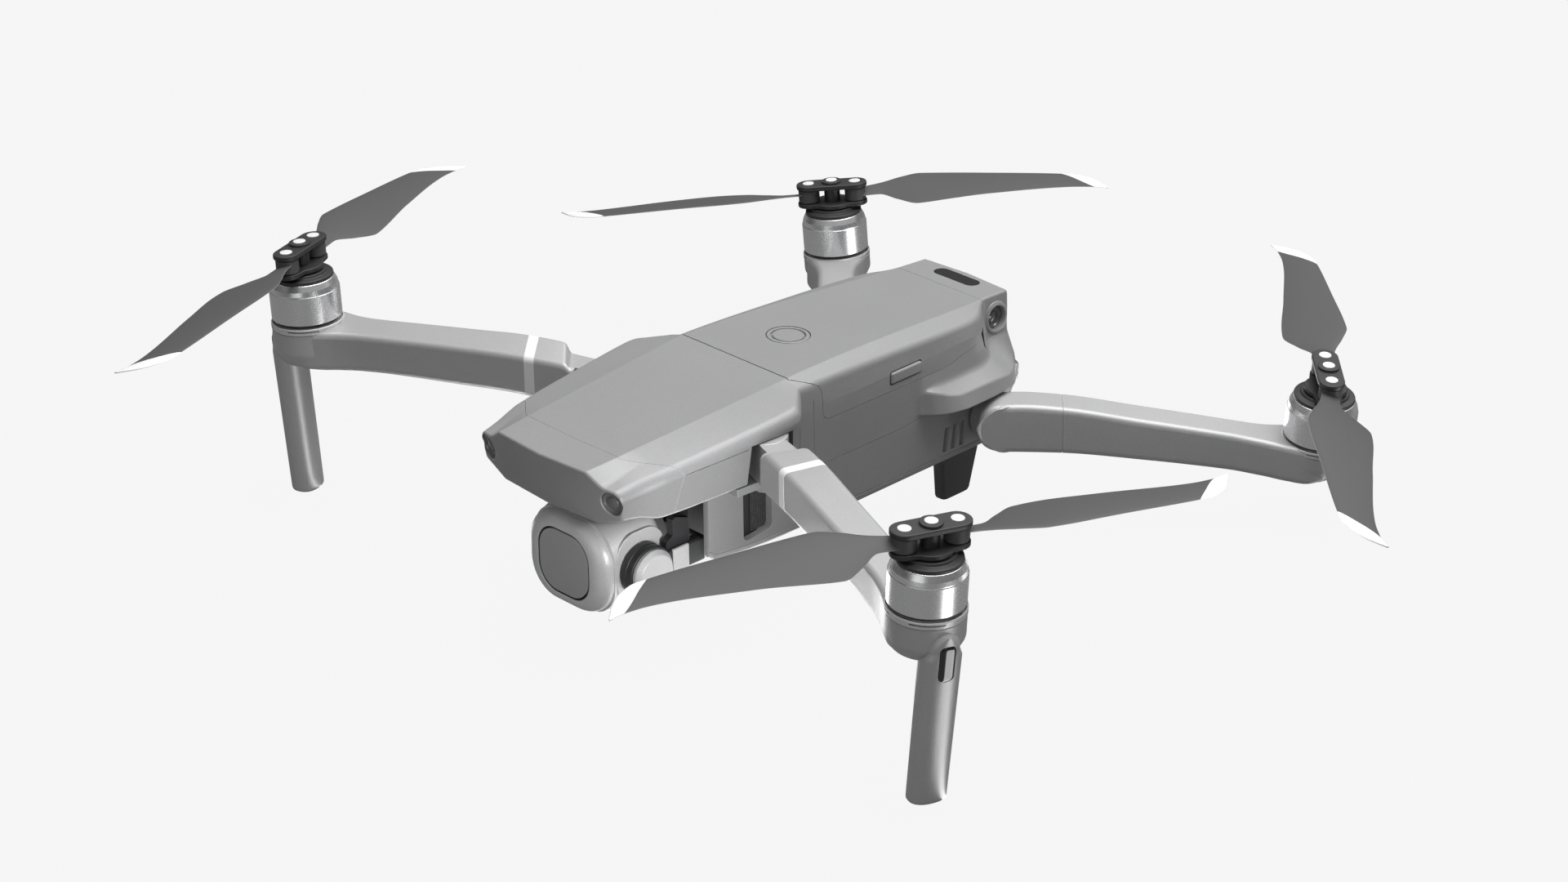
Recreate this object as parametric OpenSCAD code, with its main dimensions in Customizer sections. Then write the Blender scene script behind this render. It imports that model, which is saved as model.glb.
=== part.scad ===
// Folding quadcopter camera drone, unfolded and standing on its legs.
// +Z is up, the nose points to -Y and the drone's left side is +X.
// The origin is on the ground under the middle of the propeller tips. The lengths below are
// measured from a point that lies a little behind it, and stand() moves every piece there.

/* [Body] */
// Half width of the body's side walls
side_x = 31; // [29:0.5:32]
// Height of the belly above the ground
belly_z = 24; // [22:0.5:26]
// Height of the split between the lower shell and the battery bay
split_z = 60.3; // [59.6:0.1:61]
// Front of the lower shell, beside the camera bay
chin_y = -77; // [-78:0.5:-76]
// Rear end of the lower shell
stern_y = 69; // [68:0.5:71]
// Front face of the nose
nose_y = -122; // [-124:0.5:-120]
// Height of the top deck at its highest crease
deck_z = 77.4; // [76:0.2:78]
// Height of the top deck at the tail
tail_z = 71.6; // [70:0.2:72]
// Seam between the nose cap and the upper shell
nose_seam_y = -100; // [-102:0.5:-98]
// Seam between the upper shell and the battery
mid_seam_y = -35; // [-37:0.5:-33]
// Seam between the battery and the tail cap
rear_seam_y = 64; // [62:0.5:65]
// Width of a seam between two shells
seam = 0.3; // [0.2:0.05:0.4]
// Wall thickness of the shells
wall = 2.2; // [1.8:0.1:2.6]

/* [Arms] */
// Front arm pivot, left side, and the middle height of its knuckle
front_pivot = [35.5, -56.4, 61]; // [-150:0.1:150]
// How far the front arm points forward of straight out, in degrees
front_sweep = 20.2; // [18:0.1:22]
// Rear arm pivot, left side
rear_pivot = [40, 53, 36]; // [-150:0.1:150]
// Turn of the rear pivot axis from straight out, in degrees
rear_axis_turn = -20.76; // [-24:0.01:-18]
// Radius of every arm pivot pin
pin_r = 3; // [2.5:0.1:3.5]
// Radial running clearance on pins and shafts
run_fit = 0.05; // [0.02:0.01:0.09]
// Width of the arm beams
arm_w = 13.5; // [12:0.5:14]

/* [Rotors] */
// Bottom centre of the front left motor bell
front_bell = [148.2, -98.3, 66.2]; // [-150:0.1:150]
// Bottom centre of the rear left motor bell
rear_bell = [117, 131.2, 30.3]; // [-150:0.1:150]
// Outward lean of the front motors, in degrees
front_lean = 3.64; // [3:0.02:4]
// Outward lean of the rear motors, in degrees
rear_lean = 5.5; // [5:0.1:6]
// Outside radius of a motor bell
bell_r = 12.3; // [12:0.1:12.6]
// Height of a motor bell
bell_h = 14.8; // [14:0.1:15.5]
// Distance of a blade pivot from the rotor axis
blade_pivot_r = 8.8; // [8.6:0.1:9]
// Radius of the blade tips from the rotor axis
tip_r = 104.7; // [102:0.1:105]
// Direction of the front left propeller, degrees from +X
front_prop_turn = 69.6; // [60:0.1:80]
// Direction of the rear left propeller, degrees from +X
rear_prop_turn = 136; // [130:0.1:140]

// How far the whole drone moves forward, so that its tips lie evenly about the origin
tips_shift = 1.565; // [0:0.005:3]

/* [Camera] */
// Tilt axis of the camera, behind and above the ground
tilt_y = -97; // [-98:0.5:-96]
// Height of the camera's centre
tilt_z = 29; // [28.5:0.5:29.5]
// Yaw axis of the gimbal
yaw_y = -68; // [-69:0.5:-67]
// Width of the camera housing
camera_w = 38; // [37:0.5:39]
// Height of the camera housing
camera_h = 32; // [31:0.5:33]

/* [Hidden] */
$fn = 48;

shell_grey = [0.62, 0.62, 0.63];
dark_grey = [0.16, 0.16, 0.17];
near_black = [0.07, 0.07, 0.08];
blade_grey = [0.33, 0.33, 0.34];
lens_black = [0.03, 0.03, 0.04];

// Creases of the top deck: half width and height at the nose, the mid seam and the tail
crease_nose = [21, nose_y + 1, 72.1];
crease_mid = [24.9, mid_seam_y, deck_z];
crease_tail = [19.2, 78, tail_z];
// Shoulder ridge beside the deck, from the nose pods to the arm slot
ridge_nose = [34.9, -117.2, 67.9];
ridge_seam = [38.5, -94.2, 70.2];
ridge_slot = [41.9, -44.5, 74.2];
// Underside of the nose, and of the shoulder over the arm slot
nose_floor = 53.3;
slot_roof = 68.6;
slot_front = -66;
slot_back = -39.5;
slot_in = 25;
// Ceiling of the nose over the gimbal dampers
damper_top = nose_floor + 6;
// Edge of the deck beside the battery
battery_edge = [30.4, 74.4];
tail_edge = [25, 70.4];
battery_floor = split_z;
edge_r = 1.5;

// Heights in the rotor stack above the bottom of the bell
disc_top = bell_h + 2.3;
low_plate_z = disc_top + 0.4;
low_plate_t = 1.7;
hub_gap = 5.2;
top_plate_z = low_plate_z + low_plate_t + hub_gap;
top_plate_t = 1.9;
blade_z = low_plate_z + low_plate_t + hub_gap / 2;
blade_boss_h = 4.8;
blade_bore_r = 1.9;
boss_r = 4;

// Half widths of a blade ahead of and behind its radial line, by radius, and its pitch
lead_edge = [[9, 3.4], [19, 5.6], [34, 11.4], [60, 9.9], [91, 7.6], [97, 4.6], [101, 0.6], [tip_r, -5.9]];
trail_edge = [[9, 3.4], [18, 2.6], [33, 11.2], [60, 7.6], [92, 4.1], [98, 4.6], [101, 5.2], [tip_r, 6.6]];
blade_pitch = [[9, 15], [30, 12], [45, 9], [100, 5]];
blade_droop = [[9, 0], [40, 0], [tip_r, -2.2]];
blade_stations = [9, 14, 19, 26, 34, 45, 60, 76, 91, 95, 98, 101, 103, tip_r];

function flip(p, s) = [s * p[0], p[1], p[2]];
function unit(v) = v / norm(v);

module stand() {
    translate([0, -tips_shift, 0]) children();
}

module sided(s) {
    if (s < 0) mirror([1, 0, 0]) children();
    else children();
}

module both() {
    for (s = [1, -1]) sided(s) children();
}

// Rounded convex solid through a list of corner points, mirrored left to right
module rounded_mirror_hull(points, r = edge_r) {
    hull() for (p = points, s = [1, -1]) translate(flip(p, s)) sphere(r, $fn = 20);
}

// Rounded convex solid through corner points on one side only
module rounded_hull(points, r = edge_r) {
    hull() for (p = points) translate(p) sphere(r, $fn = 24);
}

// Skin through rings of points, with flat ends
module skin(rings) {
    n = len(rings[0]);
    m = len(rings);
    points = [for (ring = rings, p = ring) p];
    sides = [for (i = [0:m - 2], j = [0:n - 1])
        let (a = i * n + j, b = i * n + (j + 1) % n)
        each [[a, b + n, b], [a, a + n, b + n]]];
    first = [for (j = [1:n - 2]) [0, j, j + 1]];
    last = [for (j = [1:n - 2]) [(m - 1) * n, (m - 1) * n + j + 1, (m - 1) * n + j]];
    polyhedron(points, concat(sides, first, last), convexity = 6);
}

module rounded_rectangle(w, h, r) {
    square([w - 2 * r, h], center = true);
    square([w, h - 2 * r], center = true);
    for (x = [-1, 1], z = [-1, 1]) translate([x * (w / 2 - r), z * (h / 2 - r)]) circle(r);
}

module cut_behind(y) {
    translate([-150, y, -10]) cube([300, 300, 200]);
}

module cut_ahead(y) {
    translate([-150, y - 300, -10]) cube([300, 300, 200]);
}

// Casing
module deck_front() {
    rounded_mirror_hull([
        [crease_nose[0] - 2, crease_nose[1] + 1, crease_nose[2] - edge_r],
        [crease_mid[0] - 0.6, crease_mid[1] - 1, crease_mid[2] - edge_r],
        [ridge_nose[0] - edge_r, ridge_nose[1] + edge_r, ridge_nose[2] - edge_r],
        [ridge_seam[0] - edge_r, ridge_seam[1], ridge_seam[2] - edge_r],
        [ridge_slot[0] - edge_r, ridge_slot[1], ridge_slot[2] - edge_r],
        [crease_nose[0] - 1, nose_y + 5.5, nose_floor + edge_r],
        [ridge_nose[0] - 2.4, ridge_nose[1] + 2.6, nose_floor + 5],
        [ridge_nose[0] - 6, ridge_nose[1] + 4, nose_floor + edge_r],
        [ridge_seam[0] - edge_r, ridge_seam[1], nose_floor + edge_r],
        [ridge_slot[0] - 3, ridge_slot[1], nose_floor + edge_r],
        [side_x - edge_r, mid_seam_y - edge_r, nose_floor + edge_r]]);
}

module front_cavity() {
    translate([-22, -112, nose_floor - 1]) cube([44, 44, damper_top - nose_floor + 1]);
    translate([-22, -69, nose_floor - 1]) cube([44, 31, 17]);
}

nose_lens = [29.7, -116.4, 62.8];
nose_lens_r = 4.3;
module vision_seats() {
    both() translate(nose_lens - [0, 3, 0]) rotate([-90, 0, 0]) cylinder(r = nose_lens_r + 0.1, h = 8.4);
}

module upper_shell() {
    color(shell_grey) difference() {
        deck_front();
        cut_ahead(nose_seam_y + seam / 2);
        cut_behind(mid_seam_y - seam / 2);
        front_cavity();
        both() translate([slot_in, slot_front, nose_floor - 1])
            cube([30, slot_back - slot_front, slot_roof - nose_floor + 1]);
        both() translate([side_x, slot_back - 1, nose_floor - 1])
            cube([30, 40, slot_roof - nose_floor + 1]);
        both() translate([front_pivot[0], front_pivot[1], slot_roof - 1]) cylinder(r = pin_r, h = 4);
    }
}

module nose_cap() {
    color(shell_grey) difference() {
        deck_front();
        cut_behind(nose_seam_y - seam / 2);
        front_cavity();
        vision_seats();
    }
}

// Lower body: its side outline, crossed with a section and a plan that have round corners
belly_r = 3;
chin_rise = 4;
stern_rise = 13;
module lower_block() {
    intersection() {
        translate([-side_x, 0, 0]) rotate([90, 0, 90]) linear_extrude(2 * side_x) polygon([
            [chin_y, split_z], [chin_y, belly_z + chin_rise], [chin_y + belly_r, belly_z + chin_rise / 2],
            [chin_y + 35, belly_z], [stern_y - 9, belly_z], [stern_y, belly_z + stern_rise],
            [stern_y, split_z]]);
        translate([0, 150, belly_z + 50]) rotate([90, 0, 0]) linear_extrude(300)
            rounded_rectangle(2 * side_x, 100, belly_r);
        translate([0, (chin_y + stern_y) / 2, 0]) linear_extrude(100)
            rounded_rectangle(2 * side_x, stern_y - chin_y, belly_r);
    }
}

// Roof over the root of a rear arm
roof_z = rear_pivot[2] + 10.4;
module arm_roof() {
    rounded_hull([
        [24, 25, roof_z + 2],
        [34.5, 35, roof_z + 2],
        [34.5, 59, roof_z + 2],
        [24, 66, roof_z + 2],
        [24, 22, roof_z + 6.4],
        [34, 33, roof_z + 5],
        [33.5, 60, roof_z + 6.4],
        [24, 66, roof_z + 6.4]], 1.6);
}

module lower_cavity() {
    translate([-side_x + wall, -50, belly_z + wall]) cube([2 * (side_x - wall), 100, 60]);
}

// Waist behind the battery, where the tail lenses look out sideways
waist_x = 20.6;
waist_z = 57;
module waist() {
    both() translate([0, 0, waist_z]) linear_extrude(60) polygon([
        [side_x + 1, 50], [28.6, 55.5], [22.4, 62], [waist_x, 65], [waist_x, 100], [60, 100], [60, 50]]);
}

// Open bay at the front where the gimbal hangs and turns
bay_half = 28.6;
bay_back = -52.5;
module gimbal_bay() {
    translate([-bay_half, chin_y - 20, belly_z - 10])
        cube([2 * bay_half, bay_back - chin_y + 20, 60]);
}

intake_y = [-61.5, -48.3];
intake_z = [28.8, 46];
module intake_openings() {
    both() translate([bay_half - 1, intake_y[0], intake_z[0]])
        cube([8, intake_y[1] - intake_y[0], intake_z[1] - intake_z[0]]);
}

vent_y = 35.3;
vent_step = 4.15;
vent_z = [28, 37];
module side_vents() {
    both() for (k = [0:2]) translate([side_x - 6, vent_y + vent_step * k, vent_z[0] + 1]) {
        translate([0, -1, 0]) cube([12, 2, vent_z[1] - vent_z[0] - 2]);
        for (z = [0, vent_z[1] - vent_z[0] - 2]) translate([0, 0, z]) rotate([0, 90, 0]) cylinder(r = 1, h = 12);
    }
}

module lower_shell() {
    color(shell_grey) difference() {
        union() {
            lower_block();
            both() arm_roof();
            both() front_pin_post();
            both() rear_pin_boss();
        }
        translate([-100, -200, split_z]) cube([200, 400, 50]);
        translate([-100, -200, nose_floor]) cube([200, 200 + mid_seam_y + seam, 50]);
        lower_cavity();
        gimbal_bay();
        intake_openings();
        side_vents();
        waist();
        tail_seats();
        both() rear_knuckle_room();
        both() front_pin_hole();
        both() rear_pin_hole();
        translate([-16, 10, belly_z - 1]) cube([32, 52, 1 + belly_plate_t]);
    }
}

// Shelf of the lower shell that carries the foot of a front pivot pin
shelf_top = nose_floor - seam;
module front_pin_post() {
    translate([front_pivot[0], front_pivot[1], shelf_top - 6]) cylinder(r = 5.4, h = 6);
    translate([side_x - 4, front_pivot[1] - 5.4, shelf_top - 6]) cube([front_pivot[0] - side_x + 4, 10.8, 6]);
}

module front_pin_hole() {
    translate([front_pivot[0], front_pivot[1], shelf_top - 5]) cylinder(r = pin_r, h = 20);
}

// Left rear pivot axis, seen from its middle, pointing out of the body
module along_rear_axis() {
    translate(rear_pivot) rotate([0, 0, rear_axis_turn]) rotate([0, 90, 0]) children();
}

rear_knuckle_w = 13;
rear_knuckle_r = 9;
module rear_pin_boss() {
    along_rear_axis() translate([0, 0, -16]) cylinder(r = 6.5, h = 16 - rear_knuckle_w / 2 - seam);
}

module tail_seats() {
    both() translate([waist_x - 3, tail_lens[0], tail_lens[1]]) rotate([0, 90, 0])
        cylinder(r = tail_lens_r + 0.1, h = 12);
}

module rear_knuckle_room() {
    along_rear_axis() translate([0, 0, -rear_knuckle_w / 2 - seam])
        cylinder(r = rear_knuckle_r + 0.4, h = 30);
}

module rear_pin_hole() {
    along_rear_axis() translate([0, 0, -15]) cylinder(r = pin_r, h = 30);
}

module arm_hinge_pins() {
    color([0.75, 0.75, 0.77]) both() {
        translate([front_pivot[0], front_pivot[1], shelf_top - 5])
            cylinder(r = pin_r, h = slot_roof + 2.5 - shelf_top + 5);
        along_rear_axis() translate([0, 0, -15]) cylinder(r = pin_r, h = 15 + rear_knuckle_w / 2);
    }
}

// Battery pack with the top deck on it
module battery_solid() {
    rounded_mirror_hull([
        [crease_mid[0] - edge_r, mid_seam_y - 4, deck_z - edge_r],
        [battery_edge[0] - edge_r, mid_seam_y - 4, battery_edge[1] - edge_r],
        [side_x - edge_r, mid_seam_y - 4, battery_floor],
        [crease_tail[0] - 0.6, rear_seam_y + 20, tail_z - edge_r - 0.4],
        [tail_edge[0] - edge_r, rear_seam_y + 20, tail_edge[1] - edge_r - 0.4],
        [side_x - 3.5, rear_seam_y + 14, battery_floor]]);
}

clip_y = [8, 22.7];
clip_z = 64.6;
clip_h = 4;
module clip_pocket(grow) {
    translate([side_x - 9, clip_y[0] - grow, clip_z - clip_h / 2 - grow])
        cube([20, clip_y[1] - clip_y[0] + 2 * grow, clip_h + 2 * grow]);
}

module battery_pack() {
    color(shell_grey) difference() {
        battery_solid();
        cut_ahead(mid_seam_y + seam / 2);
        cut_behind(rear_seam_y - seam / 2);
        translate([-100, -200, battery_floor - 100]) cube([200, 400, 100]);
        waist();
        both() clip_pocket(0.3);
        translate([0, button_y, deck_z - 6]) cylinder(r = button_r + run_fit, h = 20);
    }
}

button_y = -9.7;
button_r = 6.6;
module power_button() {
    color(shell_grey) translate([0, button_y, deck_z - 4]) {
        cylinder(r = button_r, h = 2.4);
        translate([0, 0, 2.4]) cylinder(r = button_r - 0.6, h = 0.5);
    }
}

module battery_clip(s) {
    color(shell_grey) sided(s) {
        translate([side_x - 6.5, clip_y[0], clip_z - clip_h / 2])
            cube([6.6, clip_y[1] - clip_y[0], clip_h]);
    }
}
module battery_clip_left() { battery_clip(1); }
module battery_clip_right() { battery_clip(-1); }

module tail_cap() {
    color(shell_grey) difference() {
        union() {
            hull() {
                intersection() {
                    battery_solid();
                    translate([-waist_x, rear_seam_y, 46]) cube([2 * waist_x, 8, 60]);
                }
                rounded_mirror_hull([
                    [waist_x - edge_r, 77, tail_z - edge_r - 0.4],
                    [waist_x - edge_r, 77, split_z - 12]]);
            }
            translate([-waist_x, rear_seam_y, battery_floor]) cube([2 * waist_x, 9, 8]);
            both() translate([waist_x - 1, tail_lens[0], tail_lens[1]]) rotate([0, 90, 0])
                cylinder(r = tail_lens_r + 1.5, h = 1.8);
        }
        cut_ahead(rear_seam_y + seam / 2);
        translate([-100, -200, battery_floor - 100]) cube([200, 200 + stern_y + seam, 100]);
        translate([0, window_y, tail_z - 3]) top_window_prism(10);
        tail_seats();
    }
}

window_l = 19.6;
window_w = 5.9;
window_y = 73.1;
module top_window_prism(h) {
    for (s = [1, -1]) translate([s * (window_l - window_w) / 2, 0, 0]) cylinder(r = window_w / 2, h = h);
    translate([-(window_l - window_w) / 2, -window_w / 2, 0]) cube([window_l - window_w, window_w, h]);
}

module top_window() {
    color(lens_black) translate([0, window_y, tail_z - 3]) top_window_prism(3.1);
}

tail_lens = [71, 63.6];
tail_lens_r = 4.4;
module vision_lenses() {
    color(lens_black) {
        both() translate(nose_lens) rotate([-90, 0, 0]) cylinder(r = nose_lens_r, h = 5.4);
        both() translate([waist_x - 3, tail_lens[0], tail_lens[1]]) rotate([0, 90, 0])
            cylinder(r = tail_lens_r, h = 3.4);
        for (k = [18, 54]) translate([0, k, belly_z - 0.6]) cylinder(r = 3.6, h = 1.2);
    }
}

belly_plate_t = 1.1;
module belly_plate() {
    color(dark_grey) difference() {
        translate([-15.7, 10.3, belly_z]) cube([31.4, 51.4, belly_plate_t]);
        for (k = [18, 54]) translate([0, k, belly_z - 1]) cylinder(r = 3.6, h = 3);
    }
}

foot_x = [16.4, 21];
module rear_feet() {
    color(dark_grey) both() difference() {
        hull() {
            translate([foot_x[0], 41, belly_z - 0.1]) cube([foot_x[1] - foot_x[0], 21, 0.1]);
            translate([foot_x[0] - 3.4, 45, -1]) cube([foot_x[1] - foot_x[0], 13, 0.1]);
        }
        translate([-60, 0, -10]) cube([120, 120, 10]);
    }
}

module intake_grilles() {
    color(near_black) both() difference() {
        translate([bay_half - 0.6, intake_y[0] + 0.2, intake_z[0] + 0.2])
            cube([1.2, intake_y[1] - intake_y[0] - 0.4, intake_z[1] - intake_z[0] - 0.4]);
        for (k = [0:6]) translate([bay_half - 2, intake_y[0] + 1.6, intake_z[0] + 1.5 + 2.2 * k])
            cube([4, intake_y[1] - intake_y[0] - 3.2, 1]);
    }
}

module main_board() {
    color([0.1, 0.3, 0.16]) {
        translate([-25, -46, 46]) cube([50, 92, 1.6]);
        translate([-9, -20, 47.6]) cube([18, 18, 2]);
        translate([-12, 12, 47.6]) cube([14, 10, 1.6]);
        for (x = [-22, 22], y = [-42, 42]) translate([x, y, belly_z + wall])
            cylinder(r = 2, h = 46 - belly_z - wall);
    }
}

module cooling_fan() {
    color(near_black) translate([0, -30, belly_z + wall]) {
        difference() {
            translate([-15, -15, 0]) cube([30, 30, 8]);
            translate([0, 0, 1]) cylinder(r = 13.6, h = 12);
        }
        translate([0, 0, 0.5]) cylinder(r = 5, h = 6.5);
        for (k = [0:8]) rotate(40 * k) translate([4.5, -0.5, 0.5]) cube([8.6, 1, 6]);
    }
}

// Gimbal and camera
plate_z = 51.4;
plate_t = 1.6;
yaw_motor_h = 6.4;
module gimbal_plate() {
    color(near_black) difference() {
        union() {
            translate([-19, -110, plate_z]) cube([38, 56, plate_t]);
            translate([0, yaw_y, plate_z - yaw_motor_h]) cylinder(r = 9, h = yaw_motor_h);
        }
        translate([0, yaw_y, plate_z - yaw_motor_h - 1]) cylinder(r = 2 + run_fit, h = 4.5);
    }
}

module gimbal_dampers() {
    color([0.3, 0.3, 0.31]) for (x = [-15, 15], y = [-104, -74])
        translate([x, y, plate_z + plate_t]) {
            cylinder(r = 2.6, h = damper_top - plate_z - plate_t);
            translate([0, 0, 2]) cylinder(r = 3.4, h = 2);
        }
}

roll_r = 8.6;
roll_face_y = -72.2;
roll_back_y = -62;
yaw_disc_t = 2.4;
yaw_disc_z = plate_z - yaw_motor_h - seam - yaw_disc_t;
module yaw_arm() {
    color(near_black) {
        translate([0, yaw_y, yaw_disc_z]) cylinder(r = 9, h = yaw_disc_t);
        translate([0, yaw_y, yaw_disc_z]) cylinder(r = 2, h = yaw_disc_t + 3);
        translate([-6, roll_back_y - 0.4, tilt_z - 5]) cube([12, 3.2, yaw_disc_z - tilt_z + 5.4]);
        translate([0, roll_face_y, tilt_z]) rotate([-90, 0, 0])
            cylinder(r = roll_r, h = roll_back_y - roll_face_y);
        translate([-15, roll_face_y + 1, tilt_z - 4])
            cube([30, roll_back_y - roll_face_y - 1, yaw_disc_z - tilt_z + 4.4]);
        translate([0, roll_face_y - 1.5, tilt_z]) rotate([-90, 0, 0]) cylinder(r = 2, h = 2);
    }
}

arm_plate_t = 2.4;
tilt_in = camera_w / 2 + 0.8;
tilt_motor_l = 5;
module roll_arm() {
    color(near_black) difference() {
        union() {
            translate([0, roll_face_y - 0.3 - arm_plate_t, tilt_z]) rotate([-90, 0, 0])
                cylinder(r = roll_r, h = arm_plate_t);
            translate([0, roll_face_y - 0.3 - arm_plate_t, tilt_z - 4.5])
                cube([tilt_in + tilt_motor_l, arm_plate_t, 9]);
            translate([tilt_in + 1, tilt_y, tilt_z - 4.5])
                cube([tilt_motor_l - 1, roll_face_y - 0.3 - tilt_y, 9]);
            translate([tilt_in + 0.6, -86, tilt_z - 6.5]) cube([3, 7.5, 21.5]);
            translate([tilt_in, tilt_y, tilt_z]) rotate([0, 90, 0]) cylinder(r = 9, h = tilt_motor_l);
            translate([tilt_in - 4, tilt_y, tilt_z]) rotate([0, 90, 0]) cylinder(r = 2.5, h = 5);
        }
        translate([0, roll_face_y - 4, tilt_z]) rotate([-90, 0, 0]) cylinder(r = 2 + run_fit, h = 8);
    }
}

module tilt_motor_cap() {
    color(shell_grey) translate([tilt_in + tilt_motor_l, tilt_y, tilt_z]) rotate([0, 90, 0]) {
        cylinder(r = 8.2, h = 1.2);
        translate([0, 0, 1.2]) cylinder(r = 6.9, h = 1.8);
    }
}

camera_front = -113;
camera_back = -84.5;
camera_corner = 8;
front_edge_r = 4.5;
lens_w = 24.6;
lens_h = 23.6;
lens_corner = 7;
module camera_opening(w, h, r, y, depth) {
    translate([0, y, tilt_z]) rotate([-90, 0, 0]) linear_extrude(depth) rounded_rectangle(w, h, r);
}

// Block with round corners seen from the front, and round ends seen from the top and from the side
module camera_block(front, back, w, h, r) {
    long = 2 * (back - front);
    intersection() {
        camera_opening(w, h, r, front, back - front);
        translate([0, front, tilt_z - h]) linear_extrude(2 * h) rounded_rectangle(w, long, r);
        translate([-w, front, tilt_z]) rotate([90, 0, 90]) linear_extrude(2 * w) rounded_rectangle(long, h, r - 1);
        translate([0, back, tilt_z - h]) linear_extrude(2 * h) rounded_rectangle(w, long, front_edge_r);
        translate([-w, back, tilt_z]) rotate([90, 0, 90]) linear_extrude(2 * w)
            rounded_rectangle(long, h, front_edge_r);
    }
}

module camera_housing() {
    color([0.68, 0.68, 0.69]) difference() {
        camera_block(camera_front, camera_back, camera_w, camera_h, camera_corner);
        camera_opening(lens_w, lens_h, lens_corner, camera_front - 1, 10);
        translate([tilt_in - 4.4, tilt_y, tilt_z]) rotate([0, 90, 0]) cylinder(r = 2.5 + run_fit, h = 8);
    }
}

module camera_bezel() {
    color(near_black) difference() {
        camera_opening(lens_w - 0.2, lens_h - 0.2, lens_corner - 0.1, camera_front + 0.2, 6);
        camera_opening(lens_w - 2.4, lens_h - 2.4, lens_corner - 1.2, camera_front - 1, 3);
        translate([0, camera_front, tilt_z]) rotate([-90, 0, 0]) cylinder(r = 8, h = 10);
    }
}

module camera_glass() {
    color([0.25, 0.26, 0.28]) {
        camera_opening(lens_w - 2.6, lens_h - 2.6, lens_corner - 1.3, camera_front + 0.6, 1.2);
        translate([0, camera_front + 1.8, tilt_z]) rotate([-90, 0, 0]) cylinder(r = 7.8, h = 4);
    }
}

// Arms
front_arm_l = norm([front_bell[0] - front_pivot[0], front_bell[1] - front_pivot[1]]);
knuckle_r = 8.4;
knuckle_z = [nose_floor + 0.4, slot_roof - seam];
pod_h = 15;
pod_r = 12.6;

module at_front_arm() {
    translate([front_pivot[0], front_pivot[1], 0]) rotate(-front_sweep) children();
}

module at_bell(base, lean) {
    translate(base) rotate([0, lean, 0]) children();
}

module front_arm_beam() {
    hull() {
        translate([0, -arm_w / 2 + 1.5, knuckle_z[0] + 1.5]) rounded_end(knuckle_z[1] - knuckle_z[0] - 3);
        translate([17, -arm_w / 2 + 1.5, knuckle_z[0] + 1.5]) rounded_end(knuckle_z[1] - knuckle_z[0] - 3);
    }
    hull() {
        translate([17, -arm_w / 2 + 1.5, knuckle_z[0] + 1.5]) rounded_end(knuckle_z[1] - knuckle_z[0] - 3);
        translate([31, -arm_w / 2 + 1.5, knuckle_z[0] + 2]) rounded_end(15);
    }
    hull() {
        translate([31, -arm_w / 2 + 1.5, knuckle_z[0] + 2]) rounded_end(15);
        translate([front_arm_l - 16, -arm_w / 2 + 2, 53]) rounded_end(10.5);
    }
    hull() {
        translate([front_arm_l - 16, -arm_w / 2 + 2, 53]) rounded_end(10.5);
        translate([front_arm_l - 4, -arm_w / 2 + 2.5, 54]) rounded_end(6);
    }
}

// Rounded slice across an arm, as high as h between its corner centres
module rounded_end(h) {
    for (y = [0, arm_w - 3], z = [0, h]) translate([0, y, z]) sphere(1.5, $fn = 24);
}

module front_arm(s) {
    color(shell_grey) sided(s) difference() {
        union() {
            at_front_arm() {
                translate([0, 0, knuckle_z[0]]) cylinder(r = knuckle_r, h = knuckle_z[1] - knuckle_z[0]);
                front_arm_beam();
            }
            at_bell(front_bell, front_lean) translate([0, 0, -pod_h]) {
                cylinder(r = pod_r, h = pod_h - 0.8);
                translate([0, 0, -4]) cylinder(r1 = pod_r - 4, r2 = pod_r, h = 4);
            }
        }
        translate([front_pivot[0], front_pivot[1], 40]) cylinder(r = pin_r + run_fit, h = 40);
        at_bell(front_bell, front_lean) stator_seat();
        hull() leg_socket();
        lamp_block(0.1);
    }
}
module front_arm_left() { front_arm(1); }
module front_arm_right() { front_arm(-1); }

// Leg: an oval post from the outer side of the pod to the ground
leg_top = [157.2, -100.8, 60];
leg_foot = [151, -100.9, 0];
leg_wide = 13.4;
leg_thick = 10.4;
function leg_at(z) = leg_foot + (leg_top - leg_foot) * z / leg_top[2];
module oval_slice(p, grow, k) {
    translate(p) rotate(-front_sweep) for (t = [-1, 1])
        translate([0, t * k * (leg_wide - leg_thick) / 2, 0])
            cylinder(r = leg_thick * k / 2 + grow, h = 0.1, $fn = 32);
}

module leg_socket() {
    oval_slice(leg_top + [0, 0, 0.2], 0.1, 1);
    oval_slice(leg_at(30), 0.1, 1);
}

module front_leg(s) {
    color(shell_grey) sided(s) difference() {
        hull() {
            oval_slice(leg_top, 0, 1);
            oval_slice(leg_foot - [0, 0, 0.05], 0, 0.94);
        }
        translate([0, -200, -10]) cube([300, 300, 10]);
        lamp_block(0.1);
    }
}
module front_leg_left() { front_leg(1); }
module front_leg_right() { front_leg(-1); }

lamp_z = [45, 57.5];
lamp_w = 5.4;
lamp_in = 3.2;
module lamp_block(grow) {
    translate([leg_at(51)[0], leg_at(51)[1], lamp_z[0] - grow]) rotate(-front_sweep)
        translate([lamp_in, -lamp_w / 2 - grow, 0])
            cube([6, lamp_w + 2 * grow, lamp_z[1] - lamp_z[0] + 2 * grow]);
}

module leg_lamp(s) {
    color(lens_black) sided(s) intersection() {
        lamp_block(0);
        hull() {
            oval_slice(leg_top, 0.5, 1);
            oval_slice(leg_at(36), 0.5, 1);
        }
    }
}
module leg_lamp_left() { leg_lamp(1); }
module leg_lamp_right() { leg_lamp(-1); }

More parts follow.
